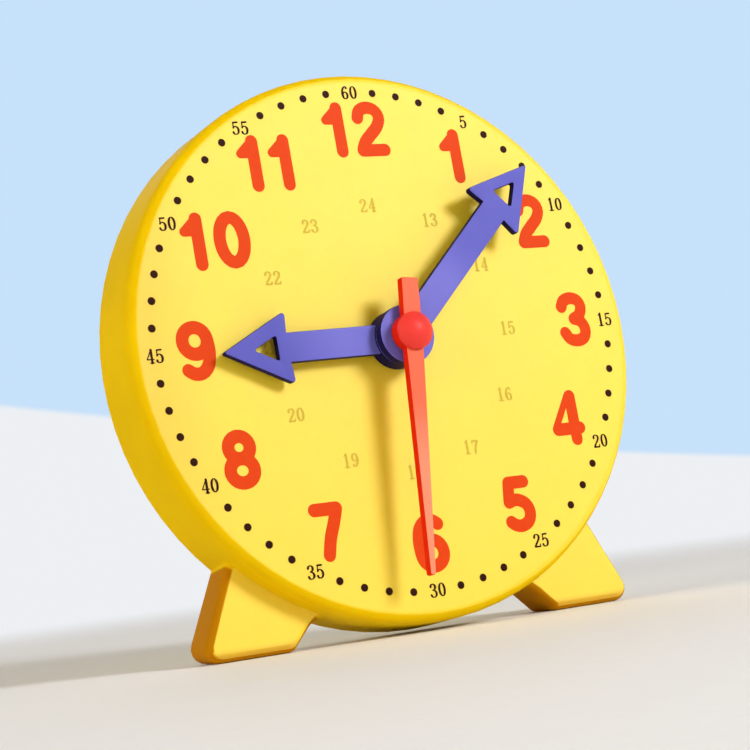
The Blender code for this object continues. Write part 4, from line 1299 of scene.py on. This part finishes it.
@dataclass(frozen=True)
class Viewpoint:
    """The camera: low and to the left, close to the clock, tilted a little."""

    eye: tuple[float, float, float] = (-0.18078, -0.33111, 0.01746)
    aim: tuple[float, float, float] = (-0.004658, -0.004026, 0.046360)
    roll: float = math.radians(-7.651)
    lens: float = 100.26
    sensor: float = 36.0

    def build(self) -> None:
        """Sets up the camera and makes it the scene's own."""
        data = bpy.data.cameras.new("viewpoint")
        data.lens, data.sensor_width, data.sensor_fit = self.lens, self.sensor, 'HORIZONTAL'
        data.clip_start, data.clip_end = 0.01, 20.0
        camera = bpy.data.objects.new("viewpoint", data)
        bpy.context.scene.collection.objects.link(camera)
        forward = (Vector(self.aim) - Vector(self.eye)).normalized()
        level = forward.cross(Vector((0, 0, 1))).normalized()
        rise = level.cross(forward)
        right = level * math.cos(self.roll) + rise * math.sin(self.roll)
        up = rise * math.cos(self.roll) - level * math.sin(self.roll)
        axes = Matrix((right, up, -forward)).transposed()
        camera.matrix_world = Matrix.Translation(self.eye) @ axes.to_4x4()
        bpy.context.scene.camera = camera


@dataclass(frozen=True)
class Studio:
    """Backdrop, lamps, sky light and camera."""

    backdrop: Backdrop = Backdrop()
    lamps: tuple[Lamp, ...] = (
        Lamp("key_lamp", (0.58, -0.96, 0.505), 0.8, 0.26, 4.6, (0.98, 1.0, 1.08)),
        Lamp("front_lamp", (-0.34, -0.88, 0.34), 1.5, 1.0, 1.4, (1.0, 0.92, 0.78)),
        Lamp("left_lamp", (-1.0, -0.12, 0.30), 1.4, 0.8, 8.9, (1.0, 0.93, 0.80)),
        Lamp("back_lamp", (0.30, 1.0, 0.75), 1.4, 1.0, 3.0, (1.0, 0.98, 0.95)))
    sky_colour: Colour = (1.0, 0.86, 0.64)
    sky_strength: float = 0.26
    viewpoint: Viewpoint = Viewpoint()

    def build(self) -> None:
        """Sets the studio up."""
        self.backdrop.build()
        low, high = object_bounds()
        for lamp in self.lamps:
            lamp.build((low + high) / 2)
        world = bpy.data.worlds.new("sky")
        world.use_nodes = True
        light = world.node_tree.nodes["Background"]
        light.inputs["Color"].default_value = (*self.sky_colour, 1.0)
        light.inputs["Strength"].default_value = self.sky_strength
        scene = bpy.context.scene
        scene.world = world
        scene.view_settings.view_transform = 'Standard'
        self.viewpoint.build()


def main() -> None:
    """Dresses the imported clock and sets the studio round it."""
    logging.basicConfig(level=logging.INFO, format="%(name)s: %(message)s")
    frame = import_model()
    cad_box = tuple(corner.copy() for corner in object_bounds())
    FRAME.report_fit()
    nodes, skin = frame["nodes"], NodeSkin()
    Case().build(nodes, skin)
    DialPrint().build()
    Hands().build(nodes, skin)
    WheelTrain().build(nodes, skin)
    SettingKnob().build(nodes, skin)
    Studio().build()


if __name__ == "__main__":
    main()
